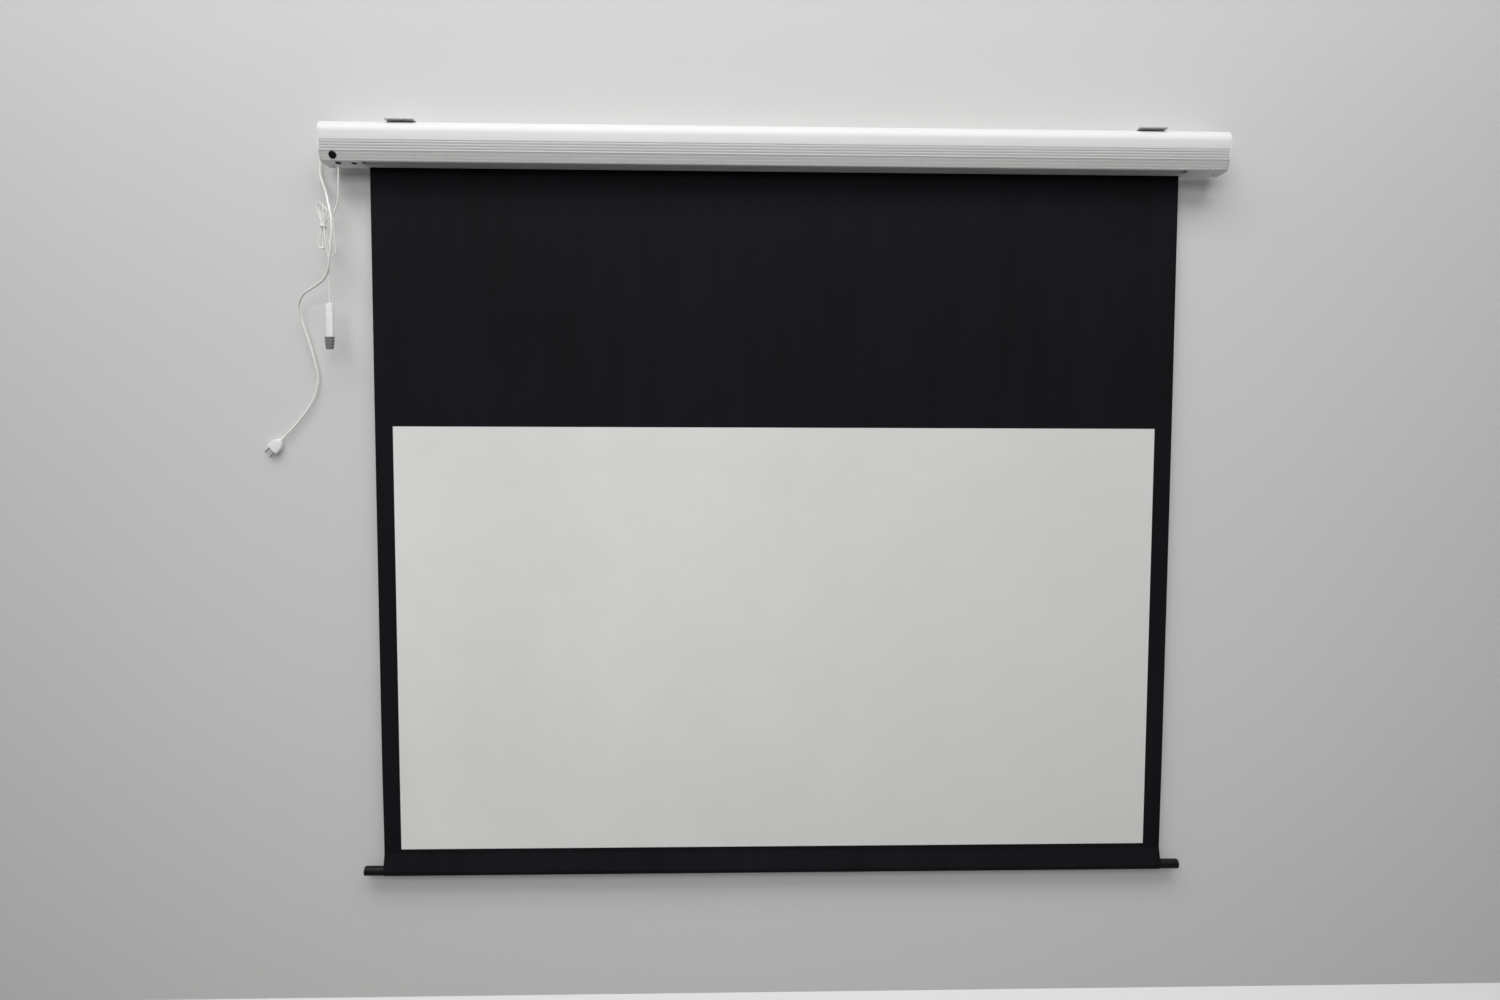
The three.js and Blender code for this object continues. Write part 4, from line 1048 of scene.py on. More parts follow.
@dataclass(frozen=True)
class MainsCord:
    """The mains lead: out of the gland behind the case, coiled there, and down to its plug.

    The route's x is from the case's left end. The gland's stem and the plug's pins are profiles of place
    and radius. The plug's sections are place along it, width and depth.
    """

    radius: float = 3.2
    step: float = 3.0

    coil_centre: tuple[float, float] = (-1205.0, -16.0)
    coil_outer: float = 43.0
    coil_turns: float = 4.5
    coil_pitch: float = 7.0
    layers: tuple[float, float] = (-13.8, -6.8)
    climb: float = 0.5
    lead: float = 6.4
    route: tuple[Place, ...] = (
        (54.3, -6.8, 27), (47.5, -6.8, 27), (26, -7, 25.5), (3, -7.5, 19), (-17, -8.4, 5),
        (-30, -9.2, -16), (-36, -10, -48), (-37.5, -11.4, -72), (-35.5, -15.5, -97),
        (-24, -25.5, -123), (-10, -41, -151), (6, -63, -186), (16, -76, -209), (23, -85, -237),
        (24.8, -88, -267), (21.8, -88, -301), (16.7, -86, -336), (8.5, -79.5, -371),
        (-4.9, -72, -393.5), (-24.5, -64, -407.5), (-46, -56, -418), (-69, -48, -429),
        (-87, -39, -443), (-98.5, -29, -466), (-97, -20, -502), (-82.3, -14, -556),
        (-66.4, -11, -620), (-58.5, -10, -663), (-64, -10, -703), (-81.5, -10, -743),
        (-109, -10, -781), (-137, -10, -814), (-155, -10, -832.4), (-160.4, -10, -837.9))

    gland_x: float = -1238.0
    elbow: float = 5.6
    stem: tuple[tuple[float, float], ...] = (
        (-21.9, 0), (-21.9, 5.2), (-19.7, 5.2), (-19.7, 9), (-17.7, 9), (-17.7, 5.6))
    edge: float = 0.5
    relief: tuple[float, float] = (3.0, 26.3)
    relief_tip: float = 4.0
    relief_root: tuple[float, float] = (2.0, 4.6)
    relief_most: float = 5.4
    ribbed: tuple[float, float] = (8.0, 24.0)
    rib_start: float = 7.0
    rib_pitch: float = 3.2
    rib_depth: float = 0.45
    rib_sink: float = 0.25

    tie_round: tuple[float, float] = (4.5, 3.6)
    tie_wall: float = 1.0
    tie_half: float = 4.0
    tie_edge: tuple[float, float] = (0.6, 0.1)

    plug_sections: tuple[tuple[float, float, float], ...] = (
        (12.3, 12.5, 10.6), (12.7, 14.2, 12.2), (13.8, 15.6, 13.2), (16.3, 19.4, 13.6), (21.3, 27.0, 13.6),
        (27.3, 34.2, 13.6), (32.3, 35.0, 13.6), (46.3, 35.0, 13.6), (48.1, 35.0, 13.4), (49.0, 34.0, 12.6),
        (49.3, 32.4, 11.2))
    plug_round: float = 0.32
    plug_relief: tuple[float, float] = (0.3, 13.0)
    plug_relief_sizes: tuple[float, float] = (4.0, 6.3)
    plug_rib_pitch: float = 2.8
    plug_rib_depth: float = 0.35
    pin: tuple[tuple[float, float], ...] = ((45.5, 0), (45.5, 2), (68.3, 2), (68.3, 0))
    pin_round: float = 1.2
    pin_offset: float = 9.5

    def coil(self) -> np.ndarray:
        """Spirals in and out again at a steady rate, and climbs a layer round the middle turn.

        At t turns the angle is pi * (2 t - 0.5), the radius outer - pitch * min(t, turns - t), and the
        depth goes smoothly from one layer to the other over the climb's share of a turn.

        Returns:
            Points of the coil.
        """
        turned = np.linspace(0, self.coil_turns, 360)
        radius = self.coil_outer - self.coil_pitch * np.minimum(turned, self.coil_turns - turned)
        share = smooth((turned - self.coil_turns / 2 + self.climb / 2) / self.climb)
        depth = self.layers[0] + (self.layers[1] - self.layers[0]) * share
        angle = np.pi * (2 * turned - 0.5)
        x = self.coil_centre[0] + radius * np.cos(angle)
        z = self.coil_centre[1] + radius * np.sin(angle)
        return np.stack([x, depth, z], 1)

    def path(self) -> np.ndarray:
        """The whole lead, from the gland through the coil to the plug.

        Returns:
            Points of the lead.
        """
        coil = self.coil()
        start = coil[0] - (self.lead, 0, 0)
        route = smooth_path(np.array(self.route) - (HALF_CASE, 0, 0), self.step)
        return even(np.vstack([start, coil, route]), self.step)

    def gland(self) -> Surface:
        """A flange and domed elbow turned about Y, and a ribbed relief along X.

        The relief tapers evenly from the elbow's radius to its tip's, and its ribs are a flattened sine.

        Returns:
            The closed surfaces.
        """
        z = self.coil_centre[1] - self.coil_outer
        angle = quarter(9)
        dome = np.stack([self.layers[0] + self.elbow * np.sin(angle), self.elbow * np.cos(angle)], 1)
        start, end = self.relief
        place = np.linspace(start, end, 60)
        taper = self.elbow + (self.relief_tip - self.elbow) * (place - self.elbow) / (end - self.elbow)
        rib = self.rib_depth * ribbing(place - self.rib_start, self.rib_pitch)
        first, last = self.ribbed
        size = np.where((place > first) & (place < last), taper - self.rib_sink + rib * 0.5,
                        np.minimum(taper, self.relief_most))
        relief = [(self.relief_root[0], 0.0), self.relief_root, *zip(place, size), (end, 0.0)]
        return (lathe([*rounded(self.stem, self.edge), *map(tuple, dome)], (self.gland_x, 0, z), Axis.Y)
                + lathe(relief, (self.gland_x, self.layers[0], z), Axis.X))

    def strap(self) -> Surface:
        """The band round the coil: rounded rectangles as large as the CAD tie, with eased outer edges.

        Returns:
            The closed surface.
        """
        low, high = corners(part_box("coil_tie"))
        width, depth, _ = high - low
        back, sink = self.tie_edge
        eased_by = 2 * sink * np.array([1.0, 0.0, 0.0, 1.0])
        outer = rounded_rings(width - eased_by, depth - eased_by, self.tie_round[0])
        inner = rounded_rings([width - 2 * self.tie_wall] * 2, depth - 2 * self.tie_wall, self.tie_round[1])
        top = self.tie_half
        return band(outer, inner, np.array([-top, back - top, top - back, top, top, -top]), (low + high) / 2)

    def plug(self) -> tuple[Surface, Surface]:
        """The flat two-pin plug with its ribbed relief, along Z from the lead's end, before it is turned.

        Returns:
            The body and the pins.
        """
        place, width, depth = np.array(self.plug_sections).T
        body = loft(rounded_rings(width, depth, depth * self.plug_round), place)
        start, end = self.plug_relief
        small, large = self.plug_relief_sizes
        run = np.linspace(start, end, 40)
        rib = self.plug_rib_depth * ribbing(run, self.plug_rib_pitch, high=0.0)
        size = small + (large - small) * (run - start) / (end - start) + rib
        relief = lathe([(start, 0), *zip(run, size), (end, 0)], (0, 0, 0))
        pin = rounded(self.pin, self.pin_round)
        pins = [lathe(pin, (x, 0, 0), sides=24) for x in (-self.pin_offset, self.pin_offset)]
        return body + relief, pins[0] + pins[1]

    def build(self) -> None:
        path = self.path()
        end = np.array(self.route[-1]) - (HALF_CASE, 0, 0)
        aim = np.array(self.route[-1], float) - self.route[-2]
        aim /= np.linalg.norm(aim)
        turn = facing(aim, np.array([-aim[2], 0.0, aim[0]]))
        body, pins = (surface.turned(turn, end) for surface in self.plug())
        plug = make("plug_body", body, WHITE_PLASTIC, Body.CASE, ("mains_plug",))
        steel = make("plug_contact_pins", pins, PLAIN_STEEL, Body.CASE, ("plug_pins",))
        gland = make("gland_with_relief", self.gland(), WHITE_PLASTIC, Body.CASE, ("mains_gland",))
        tie = make("coil_strap", self.strap(), BLACK_PLASTIC, Body.CASE, ("coil_tie",))
        lead = make("mains_cord", tube(path, self.radius), WHITE_CORD, Body.CASE,
                    ("mains_coil", "mains_lead"))
        LOG.info("mains cord is %.0f mm long", length_of(path))


@dataclass(frozen=True)
class ControlCord:
    """The thin cord: down from its grommet, folded in a tied hank, and on to the hand control.

    The x of its points is from the case's left end. The hank's lower and upper ends are x, z and radius,
    its waist is x, z and half its width, and each loop's ends shift by a step from the last loop's.
    """

    radius: float = 2.0
    step: float = 2.0
    layer: float = 5.6
    loops: int = 3
    hank_y: float = -61.6
    waist: Place = (-4.0, -250.0, 2.7)
    lower: Place = (13.0, -331.0, 10.0)
    upper: Place = (2.0, -205.0, 9.5)
    lower_shift: tuple[float, float] = (-11.0, 9.0)
    upper_shift: tuple[float, float] = (-6.5, 7.5)
    first: tuple[Place, ...] = (
        (39.5, -70, -81.8), (39.4, -70, -88), (38, -69.6, -122), (36.4, -68, -162), (33, -65.6, -183),
        (26, -62.8, -200.5), (20.6, -61.6, -211.5), (18.8, -61.6, -216.2))
    last: tuple[Place, ...] = (
        (9.4, -74.6, -346), (9.3, -74.2, -350.5), (8.6, -71.4, -378), (7.4, -70, -422), (7, -70, -460.4),
        (7, -70, -464.7))

    grommet: tuple[tuple[float, float], ...] = (
        (2.4, 0), (2.4, 6.4), (-0.3, 6.4), (-0.3, 8.2), (-1.5, 8.2), (-1.5, 4.4), (-4.5, 3.4), (-4.5, 0))
    grommet_edge: float = 0.5
    band_wall: float = 0.8
    band_round: tuple[float, float] = (4.0, 3.3)
    band_rib: float = 0.16
    band_rib_turn: float = 1.4

    def hank(self) -> np.ndarray:
        """Loops that share a drawn-in waist: an arc under each bottom, the waist, an arc over each top.

        The depth falls evenly from point to point, a layer for each loop.

        Returns:
            Points that the cord passes through.
        """
        x, z, half = self.waist
        low_r, high_r = self.lower[2], self.upper[2]
        loops = []
        for loop in range(self.loops):
            low_x, low_z = (self.lower[k] + self.lower_shift[k] * loop for k in (0, 1))
            high_x, high_z = (self.upper[k] + self.upper_shift[k] * loop for k in (0, 1))
            loops += [arc((low_x, low_z + low_r), (low_r, low_r), 0, -180, 4), [(x - half, z)],
                      arc((high_x, high_z - high_r), (high_r, high_r), 180, 0, 4), [(x + half, z)]]
        flat = np.vstack(loops)
        depth = self.hank_y - self.layer * np.arange(1, len(flat) + 1) / (len(flat) / self.loops)
        return np.stack([flat[:, 0], depth, flat[:, 1]], 1)

    def path(self) -> np.ndarray:
        """The whole cord: down to the hank, through it and on down.

        The hank's stretch starts and ends a gap away from the others, going straight on for two radii.

        Returns:
            Points of the cord, with the object's own X.
        """
        first, last, looped = np.array(self.first, float), np.array(self.last, float), self.hank()
        start_aim = (first[-1] - first[-2]) / np.linalg.norm(first[-1] - first[-2])
        end_aim = (last[1] - last[0]) / np.linalg.norm(last[1] - last[0])
        straight = GAP + self.radius * 2
        middle = (looped[-1] + last[0]) / 2
        middle[1] = looped[-1, 1]
        wound = smooth_path([first[-1] + start_aim * GAP, first[-1] + start_aim * straight, *looped,
                             middle, last[0] - end_aim * straight, last[0] - end_aim * GAP], self.step)
        route = np.vstack([smooth_path(first, self.step), wound, smooth_path(last, self.step)])
        return even(route - (HALF_CASE, 0, 0), self.step)

    def band(self) -> Surface:
        """The tie round the hank's waist, as large as the CAD tie, with fine ribs |sin| across it.

        Returns:
            The closed surface.
        """
        low, high = corners(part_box("hank_tie"))
        width, depth, tall = high - low
        place = np.linspace(-tall / 2, tall / 2, 28)
        rib = self.band_rib * np.abs(np.sin(place * self.band_rib_turn)) - self.band_rib
        outer = rounded_rings(width + 2 * rib, depth + 2 * rib, self.band_round[0])
        wall = np.full(len(place), 2 * self.band_wall)
        inner = rounded_rings(width - wall, depth - wall, self.band_round[1])
        return band(outer, inner[::-1], np.concatenate([place, place[::-1]]), (low + high) / 2)

    def build(self) -> None:
        centre = (self.first[0][0] - HALF_CASE, self.first[0][1], UNDER_Z)
        make("cord_grommet", lathe(rounded(self.grommet, self.grommet_edge), centre), BLACK_RUBBER, Body.CASE,
             ("control_grommet",))
        tie = make("hank_band", self.band(), WHITE_PLASTIC, Body.CASE, ("hank_tie",))
        path = self.path()
        cord = make("control_cord", tube(path, self.radius, 12), WHITE_CORD, Body.CASE,
                    ("control_lead_upper", "control_hank", "control_lead_lower"))
        LOG.info("control cord is %.0f mm long", length_of(path))


@dataclass(frozen=True)
class HandControl:
    """The hand control that hangs on the thin cord: a plain white body and a ribbed grey end."""

    x: float = -1259.0
    y: float = -70.0
    top: float = -465.0
    size: Place = (20.0, 14.0, 92.0)
    corner: float = 3.0
    top_round: float = 1.6
    foot_round: float = 0.8

    end_x: float = -1261.5
    end_widths: tuple[float, float] = (24.5, 18.0)
    end_thick: float = 16.0
    end_length: float = 33.0
    ribs: int = 4
    rib_depth: float = 0.5
    rib_flatness: float = 1.6
    slant: float = 0.24

    def body(self) -> Surface:
        """Rounded rectangles down the body, drawn in at both ends by a quarter circle.

        Returns:
            The closed surface.
        """
        width, depth, length = self.size
        t = np.linspace(0, 1, 9)
        ease = 1 - np.sqrt(1 - (1 - t) ** 2)
        inset = 2 * np.concatenate([self.top_round * ease, self.foot_round * ease[::-1]])
        place = np.concatenate([self.top_round * t, length - self.foot_round * t[::-1]])
        return loft(rounded_rings(width - inset, depth - inset, self.corner), self.top - place)

    def end(self) -> Surface:
        """Rounded rectangles down the tapering end, drawn in and out by slanting ribs.

        The ribs are flattened cosine waves of the way down plus a share of X.

        Returns:
            The closed surface.
        """
        run = np.linspace(0, self.end_length, 100)
        width = self.end_widths[0] + (self.end_widths[1] - self.end_widths[0]) * run / self.end_length
        outline = rounded_rings(width, self.end_thick, self.corner)
        turn = (run[:, None] + outline[..., 0] * self.slant) / self.end_length * self.ribs * 2 * np.pi
        inset = self.rib_depth * (1 + np.clip(np.cos(turn) * self.rib_flatness, -1, 1))
        half = np.stack(np.broadcast_arrays(width / 2, self.end_thick / 2), 1)
        narrow = 1 - inset[..., None] / half[:, None]
        return loft(outline * narrow, self.top - self.size[2] - GAP - run)

    def build(self) -> None:
        """Makes both pieces."""
        make("hand_control_body", self.body().moved((self.x, self.y, 0)), WHITE_PLASTIC, Body.CASE,
             ("control_body",))
        make("hand_control_end", self.end().moved((self.end_x, self.y, 0)), GREY_PLASTIC, Body.CASE,
             ("control_end",))


# Cloth and bar


@dataclass(frozen=True)
class ScreenCloth:
    """The hanging cloth: a black sheet with a window, the white viewing area in it, and the hem.

    Each ripple is its share of the wave, how far along X and down Z it goes in one radian, and its phase.
    """

    # The window in the black sheet, and how the white area laps it and stands before it
    top: float = -22.0
    window_half: float = 1106.9
    window_top: float = -805.1
    window_foot: float = -2049.9
    lap: float = 0.1
    white_stretch: float = 1.00015
    white_lift: float = 0.04

    # Waves, the side edges' curl, and how far from the roller and from the hem both come in
    wave: float = 0.7
    ripples: tuple[tuple[float, float, float, float], ...] = (
        (1.0, 171.0, math.inf, 0.4), (0.6, 67.0, 900.0, 0.0), (0.5, 301.0, -420.0, 0.0))
    curl: float = 3.5
    curl_width: float = 150.0
    calm: tuple[float, float] = (1000.0, 300.0)

    # The hem's circle and tip, and where and how far its walls belly in
    hem_radius: float = 14.75
    hem_tip: float = 0.5
    hem_free: float = 5.0
    hem_belly: float = 0.09
    hem_ripples: tuple[float, float] = (53.0, 149.0)

    # The turn on the roller: fall of its radius for a full turn, degrees, and gap inside the CAD's box
    wound_fall: float = 0.13
    wound_turn: float = 350.0
    wound_clear: float = 0.01

    # The share of each sheet's height that is left when the bar is right up
    black_keep: float = 0.0253
    white_keep: float = 0.025

    def depth(self, x: np.ndarray, z: np.ndarray) -> np.ndarray:
        """Y of the cloth: broad upright waves, and edges that curl forward by the square of the way out.

        Both die out smoothly towards the roller and the bar, as t * t * (3 - 2 t), so that the sheet lies
        flat where it meets them.

        Args:
            x: places along the case.
            z: heights.

        Returns:
            The depth at each place and height.
        """
        share = smooth((self.top - z) / self.calm[0]) * smooth((z - HEM_TOP) / self.calm[1])
        ripple = sum(size * np.sin(x / along + z / down + phase) for size, along, down, phase in self.ripples)
        out = np.clip((np.abs(x) - HALF_CLOTH + self.curl_width) / self.curl_width, 0, 1)
        return CLOTH_Y + share * (self.wave * ripple - self.curl * out**2)

    def sheet(self, xs: np.ndarray, zs: np.ndarray, keep: np.ndarray | None = None,
              lift: float = 0.0) -> Surface:
        """A grid over X and Z that lies on the waves.

        Args:
            xs: places of its columns along X.
            zs: places of its rows along Z.
            keep: true for each face to keep.
            lift: how far it moves towards the viewer.

        Returns:
            The open surface.
        """
        x, z = np.meshgrid(xs, zs)
        return grid(np.stack([x, self.depth(x, z) - lift, z], -1), keep=keep)

    def black(self) -> Surface:
        """The black sheet, with finer steps beside its window and no faces in it.

        Returns:
            The open surface.
        """
        edge = np.linspace(self.window_half, HALF_CLOTH, 4)
        inner = np.linspace(-self.window_half, self.window_half, 111)
        xs = np.concatenate([-edge[::-1], inner[1:-1], edge])
        above = np.linspace(self.top, self.window_top, 40)
        beside = np.linspace(self.window_top, self.window_foot, 64)
        zs = np.concatenate([above, beside[1:], np.linspace(self.window_foot, HEM_TOP, 3)[1:]])
        keep = np.ones((len(zs) - 1, len(xs) - 1), bool)
        first, side = len(above) - 1, len(edge) - 1
        keep[first:first + len(beside) - 1, side:-side] = False
        return self.sheet(xs, zs, keep)

    def white(self) -> Surface:
        """The white area, which laps a little over the window's edges.

        Returns:
            The open surface.
        """
        xs = np.linspace(-self.window_half, self.window_half, 111) * self.white_stretch
        zs = np.linspace(self.window_top + self.lap, self.window_foot - self.lap, 64)
        return self.sheet(xs, zs, lift=self.white_lift)

    def hem(self) -> Surface:
        """Teardrop sleeve round the bar: a circle under two tangent walls that meet at the hem's top.

        The walls belly in by a small sine along X, and the section is carried along X.

        Returns:
            The open surface.
        """
        rise = HEM_TOP - BAR_Z
        angle = math.degrees(math.acos(self.hem_radius / rise))
        round_part = arc((0, 0), (self.hem_radius, self.hem_radius), 90 + angle, 450 - angle, 48)
        share = np.linspace(0, 1, 12)[1:-1, None]
        tip = np.array([[self.hem_tip, rise], [-self.hem_tip, rise]])
        outline = np.vstack([tip[1] + (round_part[0] - tip[1]) * share, round_part,
                             round_part[-1] + (tip[0] - round_part[-1]) * share, tip])
        x = np.linspace(-HALF_CLOTH, HALF_CLOTH, 240)[:, None]
        out, up = outline.T[:, None]
        free = np.sin(np.pi * np.clip((up - self.hem_free) / (rise - self.hem_free), 0, 1))
        short, long = self.hem_ripples
        belly = 1 - self.hem_belly * free * (0.5 + 0.5 * np.sin(x / short + 1) * np.sin(x / long)) ** 2
        return grid(np.stack(np.broadcast_arrays(x, CLOTH_Y + out * belly, BAR_Z + up), -1), ring=True)

    def rolled(self) -> Surface:
        """The one turn that stays on the roller: a sheet whose radius falls evenly from the rear.

        A point at angle a stands at radius outer - fall * a / (2 pi), for a from 0 to the wound turn.

        Returns:
            The open surface.
        """
        low, high = corners(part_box("cloth_turns"))
        outer = (high[2] - low[2] - CLOTH_THICK) / 2 - self.wound_clear
        angle = np.radians(np.linspace(0, self.wound_turn, 100))
        radius = outer - self.wound_fall * angle / (2 * np.pi)
        x = np.linspace(low[0], high[0], 5)[:, None]
        y = ROLLER_Y + radius * np.cos(angle)
        z = ROLLER_Z + radius * np.sin(angle)
        return grid(np.stack(np.broadcast_arrays(x, y, z), -1))

    def blacken_back(self, white: bpy.types.Object) -> None:
        """Gives the faces of the white area that look at the wall the black cloth's finish.

        Args:
            white: the white area's object.
        """
        white.data.materials.append(BLACK_CLOTH.material)
        normals = np.zeros(len(white.data.polygons) * 3)
        white.data.polygons.foreach_get("normal", normals)
        behind = normals.reshape(-1, 3)[:, 1] > 0.5
        white.data.polygons.foreach_set("material_index", behind.astype(np.int32))

    def build(self) -> None:
        black = make("black_sheet", self.black(), BLACK_CLOTH, Body.CASE, ("black_cloth",), wall=CLOTH_THICK)
        white = make("viewing_sheet", self.white(), WHITE_CLOTH, Body.CASE, ("viewing_area",),
                     wall=CLOTH_THICK)
        self.blacken_back(white)
        hem = make("bar_hem", self.hem(), BLACK_CLOTH, Body.BAR, ("cloth_hem",), wall=CLOTH_THICK)
        wound = make("wound_cloth", self.rolled(), BLACK_CLOTH, Body.ROLLER, ("cloth_turns",),
                     wall=CLOTH_THICK)
        for piece, share in ((black, self.black_keep), (white, self.white_keep)):
            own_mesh(piece)


@dataclass(frozen=True)
class WeightBar:
    """The round bar in the hem, with a moulded cap in each end.

    A cap's dimple has a radius at its rim and one at its floor, and a depth.
    """

    wall: float = 1.2
    edge: float = 0.3
    cap: float = 4.0
    cap_round: float = 2.0
    spigot_clear: float = 0.4
    dimple: tuple[float, float, float] = (3.0, 2.4, 0.5)
    sides: int = 72

    def bar(self) -> list[tuple[float, float]]:
        """Profile of the tube's wall, with its outer edges taken off.

        Returns:
            Pairs of X and radius.
        """
        inner, rim = BAR_RADIUS - self.wall, BAR_RADIUS - self.edge
        return [(-HALF_BAR, inner), (-HALF_BAR, rim), (-HALF_BAR + self.edge, BAR_RADIUS),
                (HALF_BAR - self.edge, BAR_RADIUS), (HALF_BAR, rim), (HALF_BAR, inner)]

    def end(self, side: Side, root: float, tip: float) -> list[tuple[float, float]]:
        """Profile of a cap: a spigot in the tube, a rounded head and a dimple in its face.

        Args:
            side: the end of the bar that it closes.
            root: where its spigot ends inside the tube.
            tip: where its head ends.

        Returns:
            Pairs of X and radius.
        """
        shoulder = tip - side.value * self.cap
        spigot = BAR_RADIUS - self.wall - self.spigot_clear
        angle = quarter(8)
        curve = np.stack([tip - side.value * self.cap_round * (1 - np.sin(angle)),
                          BAR_RADIUS - self.cap_round * (1 - np.cos(angle))], 1)
        rim, floor, sunk = self.dimple
        inner = tip - side.value * sunk
        return [(root, 0), (root, spigot), (shoulder, spigot), (shoulder, BAR_RADIUS), *map(tuple, curve),
                (tip, rim), (inner, floor), (inner, 0)]

    def build(self) -> None:
        """Turns the tube and the caps about X."""
        centre = (0.0, CLOTH_Y, BAR_Z)
        make("weight_bar", lathe(self.bar(), centre, Axis.X, self.sides, closed=True), BAR_BLACK, Body.BAR,
             ("bar_tube",))
        for side in Side:
            node = f"bar_cap_{side.word}"
            ends = [corner[0] for corner in corners(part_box(node))]
            root, tip = ends[::side.value]
            make(f"bar_end_{side.word}", lathe(self.end(side, root, tip), centre, Axis.X, self.sides),
                 BLACK_PLASTIC, Body.BAR, (node,))


# Case


@dataclass(frozen=True)
class Screw:
    """A pan-head screw: the radius and rise of its head, the radius and length of its shank.

    Its dome starts at a share of the rise, the rim, and ends at a share of the head's radius, the crown.
    Plain lengths at the head and at the tip have no thread.
    """

    head: float
    rise: float
    shank: float
    length: float
    rim: float = 0.35
    crown: float = 0.25
    thread_depth: float = 0.18
    thread_pitch: float = 1.1
    plain: tuple[float, float] = (0.5, 1.5)
    recess_depth: float = 0.9
    recess_half: float = 0.35
    recess_reach: float = 0.55

    def profile(self) -> list[tuple[float, float]]:
        """The domed head over its rim, then a shank whose thread is a sine wave.

        Returns:
            Pairs of place and radius.
        """
        angle = quarter(7)[::-1]
        dome = np.stack([self.rise * (self.rim + (1 - self.rim) * np.sin(angle)),
                         self.head * (self.crown + (1 - self.crown) * np.cos(angle))], 1)
        run = np.linspace(-self.plain[0], -self.length + self.plain[1], 60)
        root = self.shank - self.thread_depth
        thread = root + self.thread_depth * np.sin(run * 2 * np.pi / self.thread_pitch)
        return [(self.rise, 0), *map(tuple, dome), (0, self.head), (0, root), *zip(run, thread),
                (-self.length, 0)]

    def build(self, name: str, node: str, centre: Sequence[float], outward: Sequence[float]) -> None:
        """Makes the screw, with a cross recess cut in its head.

        Args:
            name: the piece's name.
            node: the CAD node that it replaces.
            centre: the middle of its head's underside.
            outward: the direction that its head faces.
        """
        out = np.array(outward, float)
        turn = facing(out, np.roll(out, 1))
        reach = self.head * self.recess_reach
        floor = self.rise - self.recess_depth
        cross = [box_surface((-a, -b, floor), (a, b, self.rise + 1)).turned(turn, centre)
                 for a, b in ((reach, self.recess_half), (self.recess_half, reach))]
        make(name, lathe(self.profile(), (0, 0, 0), sides=32).turned(turn, centre), PLAIN_STEEL, Body.CASE,
             (node,), cross)


